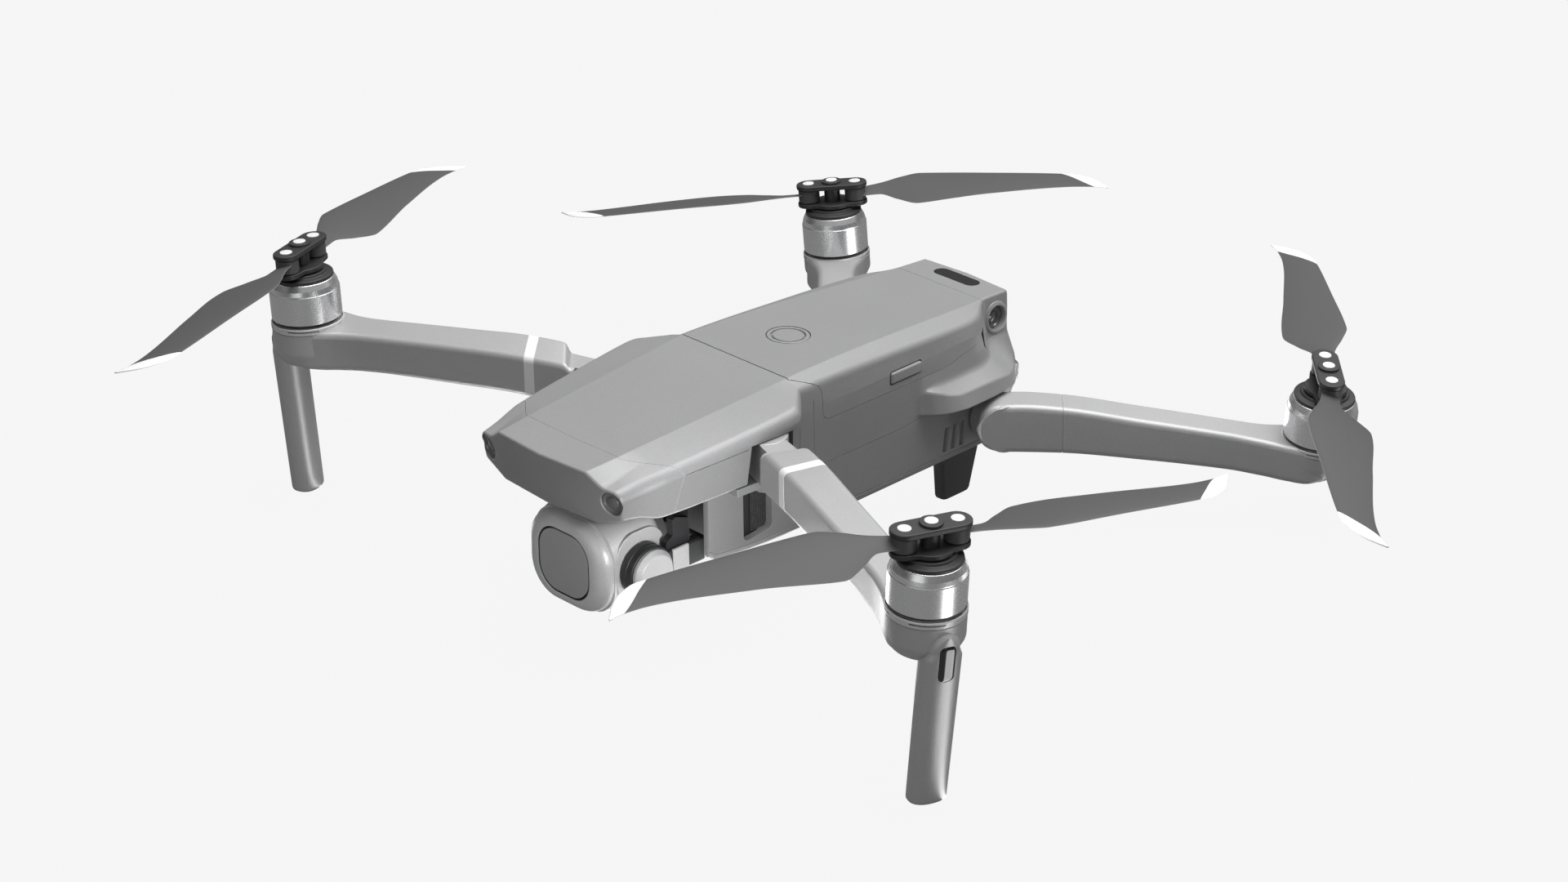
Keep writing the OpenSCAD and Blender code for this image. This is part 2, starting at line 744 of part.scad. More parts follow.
rear_arm_dir = unit([rear_bell[0] - rear_pivot[0], rear_bell[1] - rear_pivot[1]]);
rear_arm_turn = atan2(rear_arm_dir[1], rear_arm_dir[0]);
rear_arm_l = norm([rear_bell[0] - rear_pivot[0], rear_bell[1] - rear_pivot[1]]);
rear_pod_h = 11;
module at_rear_arm() {
    translate([rear_pivot[0], rear_pivot[1], 0]) rotate(rear_arm_turn) children();
}

module rear_arm_beam() {
    z = rear_pivot[2];
    hull() {
        translate([4, -arm_w / 2 + 1.5, z - 7.2]) rounded_end(14.4);
        translate([21, -arm_w / 2 + 1.5, z - 8]) rounded_end(14.6);
    }
    hull() {
        translate([21, -arm_w / 2 + 1.5, z - 8]) rounded_end(14.6);
        translate([rear_arm_l - 18, -arm_w / 2 + 1.5, rear_bell[2] - 12.5]) rounded_end(11);
    }
    hull() {
        translate([rear_arm_l - 18, -arm_w / 2 + 1.5, rear_bell[2] - 12.5]) rounded_end(11);
        translate([rear_arm_l - 2, -arm_w / 2 + 1.5, rear_bell[2] - 10.5]) rounded_end(6);
    }
}

module rear_arm(s) {
    color(shell_grey) sided(s) difference() {
        union() {
            along_rear_axis() translate([0, 0, -rear_knuckle_w / 2])
                cylinder(r = rear_knuckle_r, h = rear_knuckle_w);
            at_rear_arm() rear_arm_beam();
            at_bell(rear_bell, rear_lean) translate([0, 0, -rear_pod_h]) {
                cylinder(r = pod_r, h = rear_pod_h - 0.8);
                translate([0, 0, -3]) cylinder(r1 = pod_r - 4, r2 = pod_r, h = 3);
            }
        }
        along_rear_axis() translate([0, 0, -20]) cylinder(r = pin_r + run_fit, h = 40);
        along_rear_axis() translate([0, 0, -20 - rear_knuckle_w / 2]) cylinder(r = 14, h = 20);
        at_bell(rear_bell, rear_lean) stator_seat();
    }
}
module rear_arm_left() { rear_arm(1); }
module rear_arm_right() { rear_arm(-1); }

module rear_lamp(s) {
    color(lens_black) sided(s) at_bell(rear_bell, rear_lean) translate([0, 0, -rear_pod_h - 5.1]) {
        cylinder(r = 6.5, h = 2);
        translate([0, 0, -1]) cylinder(r1 = 5, r2 = 6.5, h = 1);
    }
}
module rear_lamp_left() { rear_lamp(1); }
module rear_lamp_right() { rear_lamp(-1); }

// Motors and propellers, all in the frame of their own bell
shaft_r = 2.5;
stator_r = 9;
module stator_seat() {
    translate([0, 0, -4]) cylinder(r = 7, h = 10);
}

module stator() {
    color([0.72, 0.45, 0.2]) difference() {
        union() {
            translate([0, 0, -4]) cylinder(r = 7, h = 5);
            translate([0, 0, 1]) cylinder(r = 4.4, h = 10);
            for (k = [0:11]) rotate(30 * k) translate([3.6, -1.3, 2]) cube([stator_r - 3.6, 2.6, 8]);
        }
        translate([0, 0, -3]) cylinder(r = shaft_r + run_fit, h = 20);
    }
}

module bell() {
    color([0.78, 0.78, 0.79]) {
        rotate_extrude() polygon([[bell_r - 1.8, 0.3], [bell_r, 0.3], [bell_r, 10.7], [bell_r - 0.3, 11],
            [bell_r - 1.3, bell_h], [shaft_r, bell_h], [shaft_r, 12.4], [bell_r - 1.8, 12.4]]);
        translate([0, 0, -2.4]) cylinder(r = shaft_r, h = bell_h + 2.4);
    }
}

module plate_outline(end_r, mid_r) {
    for (x = [-1, 1]) translate([x * blade_pivot_r, 0]) circle(end_r);
    square([2 * blade_pivot_r, 2 * end_r], center = true);
    circle(mid_r);
}

module prop_hub() {
    color(near_black) difference() {
        union() {
            translate([0, 0, bell_h]) cylinder(r = 10.6, h = disc_top - bell_h);
            translate([0, 0, disc_top]) cylinder(r = 6, h = low_plate_z - disc_top);
            translate([0, 0, low_plate_z]) linear_extrude(low_plate_t) plate_outline(4.2, 7);
            translate([0, 0, low_plate_z]) cylinder(r = 3, h = top_plate_z - low_plate_z);
            translate([0, 0, top_plate_z]) linear_extrude(top_plate_t) plate_outline(4.6, 4.6);
            translate([0, 0, top_plate_z + top_plate_t]) cylinder(r = 3.6, h = 0.5);
            for (x = [-1, 1]) translate([x * blade_pivot_r, 0, low_plate_z])
                cylinder(r = blade_bore_r - run_fit, h = top_plate_z - low_plate_z);
        }
        for (x = [-1, 1]) translate([x * blade_pivot_r, 0, top_plate_z + top_plate_t - 0.6])
            cylinder(r = 2.2, h = 2);
        translate([0, 0, top_plate_z + top_plate_t - 0.6]) cylinder(r = 2.2, h = 2);
    }
}

module hub_screws() {
    color([0.92, 0.92, 0.92]) for (x = [-1, 0, 1])
        translate([x * blade_pivot_r, 0, top_plate_z + top_plate_t - 0.6])
            cylinder(r = 2.15, h = x == 0 ? 1.5 : 1);
}

// One blade section: chordwise stations, thin at both edges, turned by the pitch
function blade_ring(r) =
    let (lead = lookup(r, lead_edge), trail = lookup(r, trail_edge), a = lookup(r, blade_pitch),
        z = lookup(r, blade_droop), chord = lead + trail,
        t = min(1.5, 0.5 + chord * 0.045))
    [for (q = [[0, 0], [0.18, -0.3], [0.5, -0.3], [0.82, -0.2], [1, 0], [0.82, 0.55], [0.5, 0.7], [0.18, 0.6]])
        let (y = lead - q[0] * chord, h = q[1] * t)
        [r, -(y * cos(a) - h * sin(a)), z + y * sin(a) + h * cos(a)]];

module blade() {
    color(blade_grey) translate([0, 0, blade_z]) difference() {
        union() {
            skin([for (r = blade_stations) blade_ring(r)]);
            translate([blade_pivot_r, 0, -blade_boss_h / 2]) cylinder(r = boss_r, h = blade_boss_h);
        }
        translate([blade_pivot_r, 0, -10]) cylinder(r = blade_bore_r, h = 20);
        translate([0, 0, -10]) cylinder(r = 3.3, h = 20);
    }
}

module front_rotor(s) {
    sided(s) at_bell(front_bell, front_lean) rotate(front_prop_turn) children();
}

module rear_rotor(s) {
    sided(s) at_bell(rear_bell, rear_lean) rotate(rear_prop_turn) children();
}

stand() upper_shell();
stand() nose_cap();
stand() lower_shell();
stand() battery_pack();
stand() tail_cap();
stand() top_window();
stand() vision_lenses();
stand() belly_plate();
stand() rear_feet();
stand() intake_grilles();
stand() main_board();
stand() cooling_fan();
stand() arm_hinge_pins();
stand() power_button();
stand() battery_clip_left();
stand() battery_clip_right();
stand() gimbal_plate();
stand() gimbal_dampers();
stand() yaw_arm();
stand() roll_arm();
stand() tilt_motor_cap();
stand() camera_housing();
stand() camera_bezel();
stand() camera_glass();
stand() front_arm_left();
stand() front_arm_right();
stand() front_leg_left();
stand() front_leg_right();
stand() leg_lamp_left();
stand() leg_lamp_right();
stand() rear_arm_left();
stand() rear_arm_right();
stand() rear_lamp_left();
stand() rear_lamp_right();
stand() front_rotor(1) stator();  // motor_stator_front_left
stand() front_rotor(-1) stator();  // motor_stator_front_right
stand() rear_rotor(1) stator();  // motor_stator_rear_left
stand() rear_rotor(-1) stator();  // motor_stator_rear_right
stand() front_rotor(1) bell();  // motor_bell_front_left
stand() front_rotor(-1) bell();  // motor_bell_front_right
stand() rear_rotor(1) bell();  // motor_bell_rear_left
stand() rear_rotor(-1) bell();  // motor_bell_rear_right
stand() front_rotor(1) prop_hub();  // prop_hub_front_left
stand() front_rotor(-1) prop_hub();  // prop_hub_front_right
stand() rear_rotor(1) prop_hub();  // prop_hub_rear_left
stand() rear_rotor(-1) prop_hub();  // prop_hub_rear_right
stand() front_rotor(1) hub_screws();  // hub_screws_front_left
stand() front_rotor(-1) hub_screws();  // hub_screws_front_right
stand() rear_rotor(1) hub_screws();  // hub_screws_rear_left
stand() rear_rotor(-1) hub_screws();  // hub_screws_rear_right
stand() front_rotor(1) blade();  // blade_front_left_a
stand() front_rotor(1) rotate(180) blade();  // blade_front_left_b
stand() front_rotor(-1) blade();  // blade_front_right_a
stand() front_rotor(-1) rotate(180) blade();  // blade_front_right_b
stand() rear_rotor(1) blade();  // blade_rear_left_a
stand() rear_rotor(1) rotate(180) blade();  // blade_rear_left_b
stand() rear_rotor(-1) blade();  // blade_rear_right_a
stand() rear_rotor(-1) rotate(180) blade();  // blade_rear_right_b
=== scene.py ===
import math

import bmesh
import bpy
from mathutils import Matrix, Vector


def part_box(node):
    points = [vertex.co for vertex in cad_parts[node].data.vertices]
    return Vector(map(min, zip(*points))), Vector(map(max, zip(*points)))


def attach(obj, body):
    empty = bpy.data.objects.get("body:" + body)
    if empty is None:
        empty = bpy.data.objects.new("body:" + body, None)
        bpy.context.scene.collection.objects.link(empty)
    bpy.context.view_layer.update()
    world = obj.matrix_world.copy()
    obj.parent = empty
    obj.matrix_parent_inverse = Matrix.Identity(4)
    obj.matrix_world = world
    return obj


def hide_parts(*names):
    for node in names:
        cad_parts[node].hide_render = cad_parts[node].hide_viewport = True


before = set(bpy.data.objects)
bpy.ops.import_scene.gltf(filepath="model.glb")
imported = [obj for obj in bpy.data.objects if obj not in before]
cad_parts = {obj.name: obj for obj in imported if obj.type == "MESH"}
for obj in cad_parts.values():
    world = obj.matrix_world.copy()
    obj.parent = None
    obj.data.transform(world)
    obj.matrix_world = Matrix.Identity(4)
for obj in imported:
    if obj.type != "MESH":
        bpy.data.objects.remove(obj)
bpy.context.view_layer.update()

# lengths are in millimetres, and y runs from the body's own zero, a little ahead of the frame's origin
unit = 0.001
tipsShift = 1.565
sides = (("left", 1), ("right", -1))
sideways = Vector((1, 0, 0))
far = 120  # well past the casing


# small tools for outlines and meshes

def along(table, at):
    # smooth curve through a table of (place, value), without overshoot
    keys = [row[0] for row in table]
    if at <= keys[0]:
        return table[0][1]
    if at >= keys[-1]:
        return table[-1][1]
    i = max(k for k in range(len(keys)) if keys[k] <= at)
    step = [keys[k + 1] - keys[k] for k in range(len(keys) - 1)]
    rise = [(table[k + 1][1] - table[k][1]) / step[k] for k in range(len(step))]

    def lean(k):
        if k == 0:
            return rise[0]
        if k == len(step):
            return rise[-1]
        if rise[k - 1] * rise[k] <= 0:
            return 0.0
        return 2 * rise[k - 1] * rise[k] / (rise[k - 1] + rise[k])

    t = (at - keys[i]) / step[i]
    a, b = table[i][1], table[i + 1][1]
    da, db = lean(i) * step[i], lean(i + 1) * step[i]
    return a + t * da + t * t * (3 * (b - a) - 2 * da - db) + t ** 3 * (da + db - 2 * (b - a))


def quarter(count, first=0):
    # sine and cosine at even steps of a quarter turn
    angles = [math.pi / 2 * k / count for k in range(first, count + 1)]
    return [(math.sin(angle), math.cos(angle)) for angle in angles]


def evenly(rows):
    # places from rows of (first, step, count)
    return [first + step * k for first, step, count in rows for k in range(count)]


def roundCorner(a, b, c, radius, steps):
    # the arc that takes the place of corner b between a and c
    leastRadius, sideShare = 0.02, 0.48
    a, b, c = Vector(a), Vector(b), Vector(c)
    u, v = a - b, c - b
    if u.length < 1e-6 or v.length < 1e-6:
        return [b.copy() for _ in range(steps + 1)]
    room = sideShare * u.length, sideShare * v.length
    u.normalize()
    v.normalize()
    half = math.acos(max(-1, min(1, u.dot(v)))) / 2
    back = min(max(radius, leastRadius) / max(math.tan(half), 1e-4), *room)
    start, end = b + u * back, b + v * back
    straight = [start.lerp(end, k / steps) for k in range(steps + 1)]
    if half > math.radians(89):
        return straight
    centre = b + (u + v).normalized() * (back / math.cos(half))
    p, q = start - centre, end - centre
    turn = math.acos(max(-1, min(1, p.normalized().dot(q.normalized()))))
    if turn < 1e-5:
        return straight
    return [centre + (p * math.sin((1 - k / steps) * turn) + q * math.sin(k / steps * turn)) / math.sin(turn)
            for k in range(steps + 1)]


def roundedOutline(corners, steps=5):
    # closed outline from (x, y, radius) corners
    count = len(corners)
    line = []
    for i, (x, y, radius) in enumerate(corners):
        before, after = corners[i - 1], corners[(i + 1) % count]
        line += roundCorner(before[:2], (x, y), after[:2], radius, steps)
    return line


def roundedRun(corners, steps):
    # open line from (point, radius) corners
    line = [Vector(corners[0][0])]
    for i in range(1, len(corners) - 1):
        point, radius = corners[i]
        line += roundCorner(corners[i - 1][0], point, corners[i + 1][0], radius, steps)
    line.append(Vector(corners[-1][0]))
    return line


def roundedBox(low, high, radius, steps=4):
    return roundedOutline([(low[0], low[1], radius), (high[0], low[1], radius),
                           (high[0], high[1], radius), (low[0], high[1], radius)], steps)


def squircle(width, height, radius, steps=10):
    w, h = width / 2, height / 2
    return roundedOutline([(w, h, radius), (-w, h, radius), (-w, -h, radius), (w, -h, radius)], steps)


def stadium(length, width, steps=16):
    reach = (length - width) / 2
    line = []
    for end, first in ((1, -90), (-1, 90)):
        for k in range(steps + 1):
            angle = math.radians(first + 180 * k / steps)
            line.append(Vector((end * reach + width / 2 * math.cos(angle), width / 2 * math.sin(angle))))
    return line


def inset(line, depth):
    # moves a closed outline inwards, whichever way round it runs
    count = len(line)
    area = sum(line[i - 1].x * line[i].y - line[i].x * line[i - 1].y for i in range(count))
    side = 1 if area > 0 else -1
    moved = []
    for i in range(count):
        before, after = line[i - 1], line[(i + 1) % count]
        run = after - before
        if run.length < 1e-9:
            moved.append(line[i].copy())
            continue
        run.normalize()
        moved.append(line[i] + Vector((-run.y, run.x)) * depth * side)
    return moved


def shrunk(line, depth):
    # draws a closed outline in by the same depth on all sides of its box, and never crosses itself
    xs, ys = [p.x for p in line], [p.y for p in line]
    centre = Vector(((min(xs) + max(xs)) / 2, (min(ys) + max(ys)) / 2))
    wide, high = max(xs) - min(xs), max(ys) - min(ys)
    fx, fy = 1 - 2 * depth / wide, 1 - 2 * depth / high
    return [Vector((centre.x + (p.x - centre.x) * fx, centre.y + (p.y - centre.y) * fy)) for p in line]


def loft(rings, capped=True):
    count = len(rings[0])
    verts = [Vector(p) for ring in rings for p in ring]
    faces = []
    for i in range(len(rings) - 1):
        for j in range(count):
            a, b = i * count + j, i * count + (j + 1) % count
            faces.append((a, b, b + count, a + count))
    if capped:
        faces.append(tuple(range(count)))
        faces.append(tuple(range((len(rings) - 1) * count, len(rings) * count)))
    return verts, faces


def sidewaysLoft(rows):
    # outlines in the (y, z) plane, each at its own x
    return loft([[(x, p[0], p[1]) for p in line] for x, line in rows])


def revolve(profile, segments=96):
    # closed profile of (radius, height) turned about the upright axis
    rings = []
    for k in range(segments):
        angle = 2 * math.pi * k / segments
        rings.append([(r * math.cos(angle), r * math.sin(angle), z) for r, z in profile])
    rings.append(rings[0])
    return loft(rings, False)


def softProfile(corners, steps=4):
    # the rounded profile of a turned piece, from (radius, height, corner radius)
    return [(p.x, p.y) for p in roundedOutline(corners, steps)]


def rodProfile(radius, low, high):
    return [(0, low), (radius, low), (radius, high), (0, high)]


def softRod(radius, low, high, edge=0, steps=1):
    return softProfile([(0, low, 0), (radius, low, edge), (radius, high, edge), (0, high, 0)], steps)


def prism(line, low, high, edge=0.0):
    # outline raised from low to high along z, its edges rounded
    rings = [(line, low), (line, high)]
    if edge > 0:
        arc = quarter(3)
        rings = [(inset(line, edge * (1 - s)), low + edge * (1 - c)) for s, c in arc]
        rings += [(inset(line, edge * (1 - c)), high - edge * (1 - s)) for s, c in arc]
    return loft([[(p.x, p.y, z) for p in ring] for ring, z in rings])


def block(low, high):
    (x0, y0, z0), (x1, y1, z1) = low, high
    return prism([Vector((x0, y0)), Vector((x1, y0)), Vector((x1, y1)), Vector((x0, y1))], z0, z1)


def bevelledBox(low, high, edge=0.8):
    return prism(roundedBox(low, high, edge), low[2], high[2], edge * 0.9)


def merge(*solids):
    verts, faces = [], []
    for v, f in solids:
        start = len(verts)
        verts += list(v)
        faces += [tuple(i + start for i in face) for face in f]
    return verts, faces


def placed(solid, matrix):
    return [matrix @ Vector(p) for p in solid[0]], solid[1]


def mirrored(solid):
    return [Vector((-p[0], p[1], p[2])) for p in solid[0]], solid[1]


def bothSides(solid):
    return merge(solid, mirrored(solid))


def sided(solid, sign):
    return solid if sign > 0 else mirrored(solid)


def aimed(axis, origin):
    # matrix that turns +Z to an axis and puts it at a point
    spin = Vector((0, 0, 1)).rotation_difference(Vector(axis).normalized()).to_matrix().to_4x4()
    return Matrix.Translation(Vector(origin)) @ spin


def turnedAt(point, axis, profile, segments=64):
    return placed(revolve(profile, segments), aimed(axis, point))


def metres(point):
    return Vector((point[0] * unit, (point[1] - tipsShift) * unit, point[2] * unit))


def camelName(name):
    first, *rest = name.split("_")
    return first + "".join(word.capitalize() for word in rest)


def linkedObject(name, data):
    obj = bpy.data.objects.new(name, data)
    bpy.context.scene.collection.objects.link(obj)
    return obj


def addObject(name, solid):
    name = camelName(name)
    mesh = bpy.data.meshes.new(name)
    mesh.from_pydata([metres(p) for p in solid[0]], [], solid[1])
    bm = bmesh.new()
    bm.from_mesh(mesh)
    bmesh.ops.remove_doubles(bm, verts=bm.verts, dist=2e-6)
    bmesh.ops.dissolve_degenerate(bm, edges=bm.edges, dist=1e-6)
    bmesh.ops.recalc_face_normals(bm, faces=bm.faces)
    bm.to_mesh(mesh)
    bm.free()
    return linkedObject(name, mesh)


def copyOf(obj, name):
    return linkedObject(camelName(name), obj.data.copy())


def applyModifiers(obj):
    graph = bpy.context.evaluated_depsgraph_get()
    graph.update()
    mesh = bpy.data.meshes.new_from_object(
        obj.evaluated_get(graph), preserve_all_data_layers=True, depsgraph=graph)
    obj.modifiers.clear()
    old = obj.data
    obj.data = mesh
    bpy.data.meshes.remove(old)


def carve(obj, solid, how="DIFFERENCE"):
    tool = addObject("carvingTool", solid)
    step = obj.modifiers.new("carve", "BOOLEAN")
    step.operation = how
    step.solver = "EXACT"
    step.object = tool
    applyModifiers(obj)
    bpy.data.objects.remove(tool)


def shade(obj, sharpAngle):
    for face in obj.data.polygons:
        face.use_smooth = True
    obj.data.set_sharp_from_angle(angle=math.radians(sharpAngle))
    step = obj.modifiers.new("even normals", "WEIGHTED_NORMAL")
    step.keep_sharp = True
    step.weight = 80
    applyModifiers(obj)


def finishPiece(obj, body, slot, material, *nodes, sharpAngle=32):
    shade(obj, sharpAngle)
    if not obj.data.materials:
        obj.data.materials.append(material)
    else:
        obj.data.materials[0] = material
    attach(obj, body)
    if nodes:
        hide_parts(*nodes)


def paintNode(name, finish):
    # a solid whose own shape shows
    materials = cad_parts[name].data.materials
    materials.clear()
    materials.append(finishes[finish])


# shader groups that several finishes share

def newGroup(name, inputs, outputs):
    group = bpy.data.node_groups.new(name, "ShaderNodeTree")
    for label, value in inputs.items():
        socket = group.interface.new_socket(name=label, in_out="INPUT", socket_type="NodeSocketFloat")
        socket.default_value = value
    for label in outputs:
        group.interface.new_socket(name=label, in_out="OUTPUT", socket_type="NodeSocketFloat")
    return group, group.nodes.new("NodeGroupInput"), group.nodes.new("NodeGroupOutput")


def mathNode(tree, operation, a, b, clamp=False):
    node = tree.nodes.new("ShaderNodeMath")
    node.operation = operation
    node.use_clamp = clamp
    for socket, value in zip(node.inputs, (a, b)):
        if isinstance(value, (int, float)):
            socket.default_value = value
        else:
            tree.links.new(value, socket)
    return node.outputs[0]


def noiseNode(tree, place, **values):
    node = tree.nodes.new("ShaderNodeTexNoise")
    tree.links.new(place, node.inputs["Vector"])
    for label, value in values.items():
        node.inputs[label].default_value = value
    return node


def grainGroup():
    # moulded or sprayed grain: a fine height, a tone that wavers about 1, and a roughness
    fineShare = 0.75
    tree, entry, leave = newGroup(
        "sprayedGrain",
        {"Scale": 2600.0, "Tone Spread": 0.06, "Base Roughness": 0.45, "Roughness Spread": 0.08},
        ("Height", "Tone", "Roughness"))
    place = tree.nodes.new("ShaderNodeTexCoord").outputs["Object"]
    fine = noiseNode(tree, place, Detail=2.0, Roughness=0.6)
    broad = noiseNode(tree, place, Scale=28.0, Detail=3.0)
    tree.links.new(entry.outputs["Scale"], fine.inputs["Scale"])
    mixed = mathNode(tree, "ADD", mathNode(tree, "MULTIPLY", fine.outputs["Fac"], fineShare),
                     mathNode(tree, "MULTIPLY", broad.outputs["Fac"], 1 - fineShare))
    centred = mathNode(tree, "SUBTRACT", mixed, 0.5)
    tone = mathNode(tree, "ADD", mathNode(tree, "MULTIPLY", centred, entry.outputs["Tone Spread"]), 1.0)
    rough = mathNode(tree, "ADD", mathNode(tree, "MULTIPLY", centred, entry.outputs["Roughness Spread"]),
                     entry.outputs["Base Roughness"], clamp=True)
    tree.links.new(fine.outputs["Fac"], leave.inputs["Height"])
    tree.links.new(tone, leave.inputs["Tone"])
    tree.links.new(rough, leave.inputs["Roughness"])
    return tree


def edgeHighlightGroup():
    # 1 along sharp outer edges, where a painted highlight lightens the colour, 0 on the flats
    gain = 6.0
    tree, entry, leave = newGroup("wornEdges", {"Width": 0.0004, "Strength": 1.0}, ("Mask",))
    bevel = tree.nodes.new("ShaderNodeBevel")
    bevel.samples = 4
    geometry = tree.nodes.new("ShaderNodeNewGeometry")
    apart = tree.nodes.new("ShaderNodeVectorMath")
    apart.operation = "DOT_PRODUCT"
    tree.links.new(entry.outputs["Width"], bevel.inputs["Radius"])
    tree.links.new(bevel.outputs["Normal"], apart.inputs[0])
    tree.links.new(geometry.outputs["Normal"], apart.inputs[1])
    bend = mathNode(tree, "MULTIPLY", mathNode(tree, "SUBTRACT", 1.0, apart.outputs["Value"]), gain)
    mask = mathNode(tree, "MULTIPLY", bend, entry.outputs["Strength"], clamp=True)
    tree.links.new(mask, leave.inputs["Mask"])
    return tree


grain = grainGroup()
edges = edgeHighlightGroup()


def newMaterial(name):
    material = bpy.data.materials.new(name)
    material.use_nodes = True
    return material, material.node_tree, material.node_tree.nodes["Principled BSDF"]


def useGroup(tree, group, **values):
    node = tree.nodes.new("ShaderNodeGroup")
    node.node_tree = group
    for label, value in values.items():
        node.inputs[label.replace("_", " ")].default_value = value
    return node


def colourMix(tree):
    node = tree.nodes.new("ShaderNodeMix")
    node.data_type = "RGBA"
    return node


def tinted(tree, colour, tone):
    # colour times a tone that varies over the surface
    node = colourMix(tree)
    node.blend_type = "MULTIPLY"
    node.inputs["Factor"].default_value = 1.0
    node.inputs["A"].default_value = (*colour, 1.0)
    tree.links.new(tone, node.inputs["B"])
    return node.outputs["Result"]


def lighter(tree, colour, edgeColour, mask):
    node = colourMix(tree)
    tree.links.new(mask, node.inputs["Factor"])
    tree.links.new(colour, node.inputs["A"])
    node.inputs["B"].default_value = (*edgeColour, 1.0)
    return node.outputs["Result"]


def addRelief(tree, shader, texture, strength):
    relief = tree.nodes.new("ShaderNodeBump")
    relief.inputs["Strength"].default_value = strength
    relief.inputs["Distance"].default_value = 0.1 * unit
    tree.links.new(texture.outputs["Height"], relief.inputs["Height"])
    tree.links.new(relief.outputs["Normal"], shader.inputs["Normal"])


def plastic(name, colour, roughness=0.45, metallic=0.0, grainScale=2200.0, toneSpread=0.35, bump=0.6,
            edgeColour=None):
    # grained finish of moulded or painted pieces, with a painted highlight along their edges
    material, tree, shader = newMaterial(name)
    texture = useGroup(tree, grain, Scale=grainScale, Tone_Spread=toneSpread, Base_Roughness=roughness)
    tone = tinted(tree, colour, texture.outputs["Tone"])
    if edgeColour:
        # painted highlight that lightens the sharp edges
        worn = useGroup(tree, edges, Width=0.25 * unit, Strength=0.3)
        tone = lighter(tree, tone, edgeColour, worn.outputs["Mask"])
    tree.links.new(tone, shader.inputs["Base Color"])
    tree.links.new(texture.outputs["Roughness"], shader.inputs["Roughness"])
    shader.inputs["Metallic"].default_value = metallic
    addRelief(tree, shader, texture, bump)
    return material


def glassy(name, colour, roughness):
    # dark polished window, with a faint uneven polish
    material, tree, shader = newMaterial(name)
    texture = useGroup(tree, grain, Scale=900.0, Tone_Spread=0.1, Base_Roughness=roughness,
                       Roughness_Spread=0.04)
    tree.links.new(tinted(tree, colour, texture.outputs["Tone"]), shader.inputs["Base Color"])
    tree.links.new(texture.outputs["Roughness"], shader.inputs["Roughness"])
    shader.inputs["IOR"].default_value = 1.5
    shader.inputs["Coat Weight"].default_value = 0.6
    shader.inputs["Coat Roughness"].default_value = 0.03
    return material


def satinMetal(name, colour, roughness):
    # finely grained metal, with a painted highlight along its edges
    brightEdgeHighlight = (0.93, 0.93, 0.94)
    material, tree, shader = newMaterial(name)
    texture = useGroup(tree, grain, Scale=3200.0, Tone_Spread=0.08, Base_Roughness=roughness,
                       Roughness_Spread=0.12)
    # painted highlight along the edges
    worn = useGroup(tree, edges, Width=0.3 * unit, Strength=0.8)
    tone = lighter(tree, tinted(tree, colour, texture.outputs["Tone"]), brightEdgeHighlight, worn.outputs["Mask"])
    tree.links.new(tone, shader.inputs["Base Color"])
    tree.links.new(texture.outputs["Roughness"], shader.inputs["Roughness"])
    shader.inputs["Metallic"].default_value = 0.85
    addRelief(tree, shader, texture, 0.06)
    return material


# pale painted highlight for the edges of the grey paint
paleEdgeHighlight = (0.62, 0.62, 0.63)
# where a finish gives a last colour, it is the painted highlight along its edges
finishes = {
    "shell": plastic("shellPaint", (0.315, 0.315, 0.32), 0.42, 0.12, edgeColour=paleEdgeHighlight),
    "deck": plastic("deckPaint", (0.31, 0.31, 0.315), 0.42, 0.12, edgeColour=paleEdgeHighlight),
    "arm": plastic("armPaint", (0.48, 0.48, 0.485), 0.42, 0.3, edgeColour=paleEdgeHighlight),
    "dark": plastic("darkPlastic", (0.045, 0.045, 0.048), 0.5, 0.0, 2200.0, 0.2, 0.2, (0.13, 0.13, 0.13)),
    "gimbal": plastic("gimbalBlack", (0.03, 0.03, 0.032), 0.42, 0.0, 2200.0, 0.2, 0.15, (0.12, 0.12, 0.12)),
    "hub": plastic("hubPlastic", (0.032, 0.032, 0.034), 0.48, 0.0, 2400.0, 0.25, 0.2, (0.1, 0.1, 0.1)),
    "camera": plastic("cameraShell", (0.68, 0.68, 0.685), 0.38, 0.2, edgeColour=(0.7, 0.7, 0.7)),
    "rubber": plastic("damperRubber", (0.06, 0.06, 0.062), 0.75, 0.0, 1800.0, 0.2, 0.2),
    "band": plastic("armBandWhite", (0.86, 0.86, 0.86), 0.45, 0.0, 2600.0, 0.04, 0.05),
    "screw": plastic("screwWhite", (0.8, 0.8, 0.8), 0.35, 0.0, 2600.0, 0.05, 0.05, (0.9, 0.9, 0.9)),
    "board": plastic("boardGreen", (0.03, 0.12, 0.05), 0.45, 0.0, 900.0, 0.5, 0.1),
    "copper": plastic("windingCopper", (0.55, 0.25, 0.09), 0.35, 0.8, 3000.0, 0.4, 0.3),
    "steel": satinMetal("pinSteel", (0.55, 0.55, 0.57), 0.28),
    "bell": satinMetal("bellMetal", (0.74, 0.74, 0.75), 0.28),
    "foot": plastic("footPlastic", (0.075, 0.075, 0.078), 0.5, 0.0, edgeColour=(0.2, 0.2, 0.2)),
    "lens": glassy("visionGlass", (0.12, 0.12, 0.122), 0.2),
    "window": plastic("windowGloss", (0.006, 0.006, 0.007), 0.5, 0.0, 2200.0, 0.05, 0.02),
    "cameraGlass": glassy("cameraGlass", (0.4, 0.4, 0.402), 0.25),
    "lamp": glassy("lampGloss", (0.01, 0.01, 0.011), 0.12),
}
print("finishes ready:", len(finishes))


# casing, front: nose cap and upper shell with the two shoulders

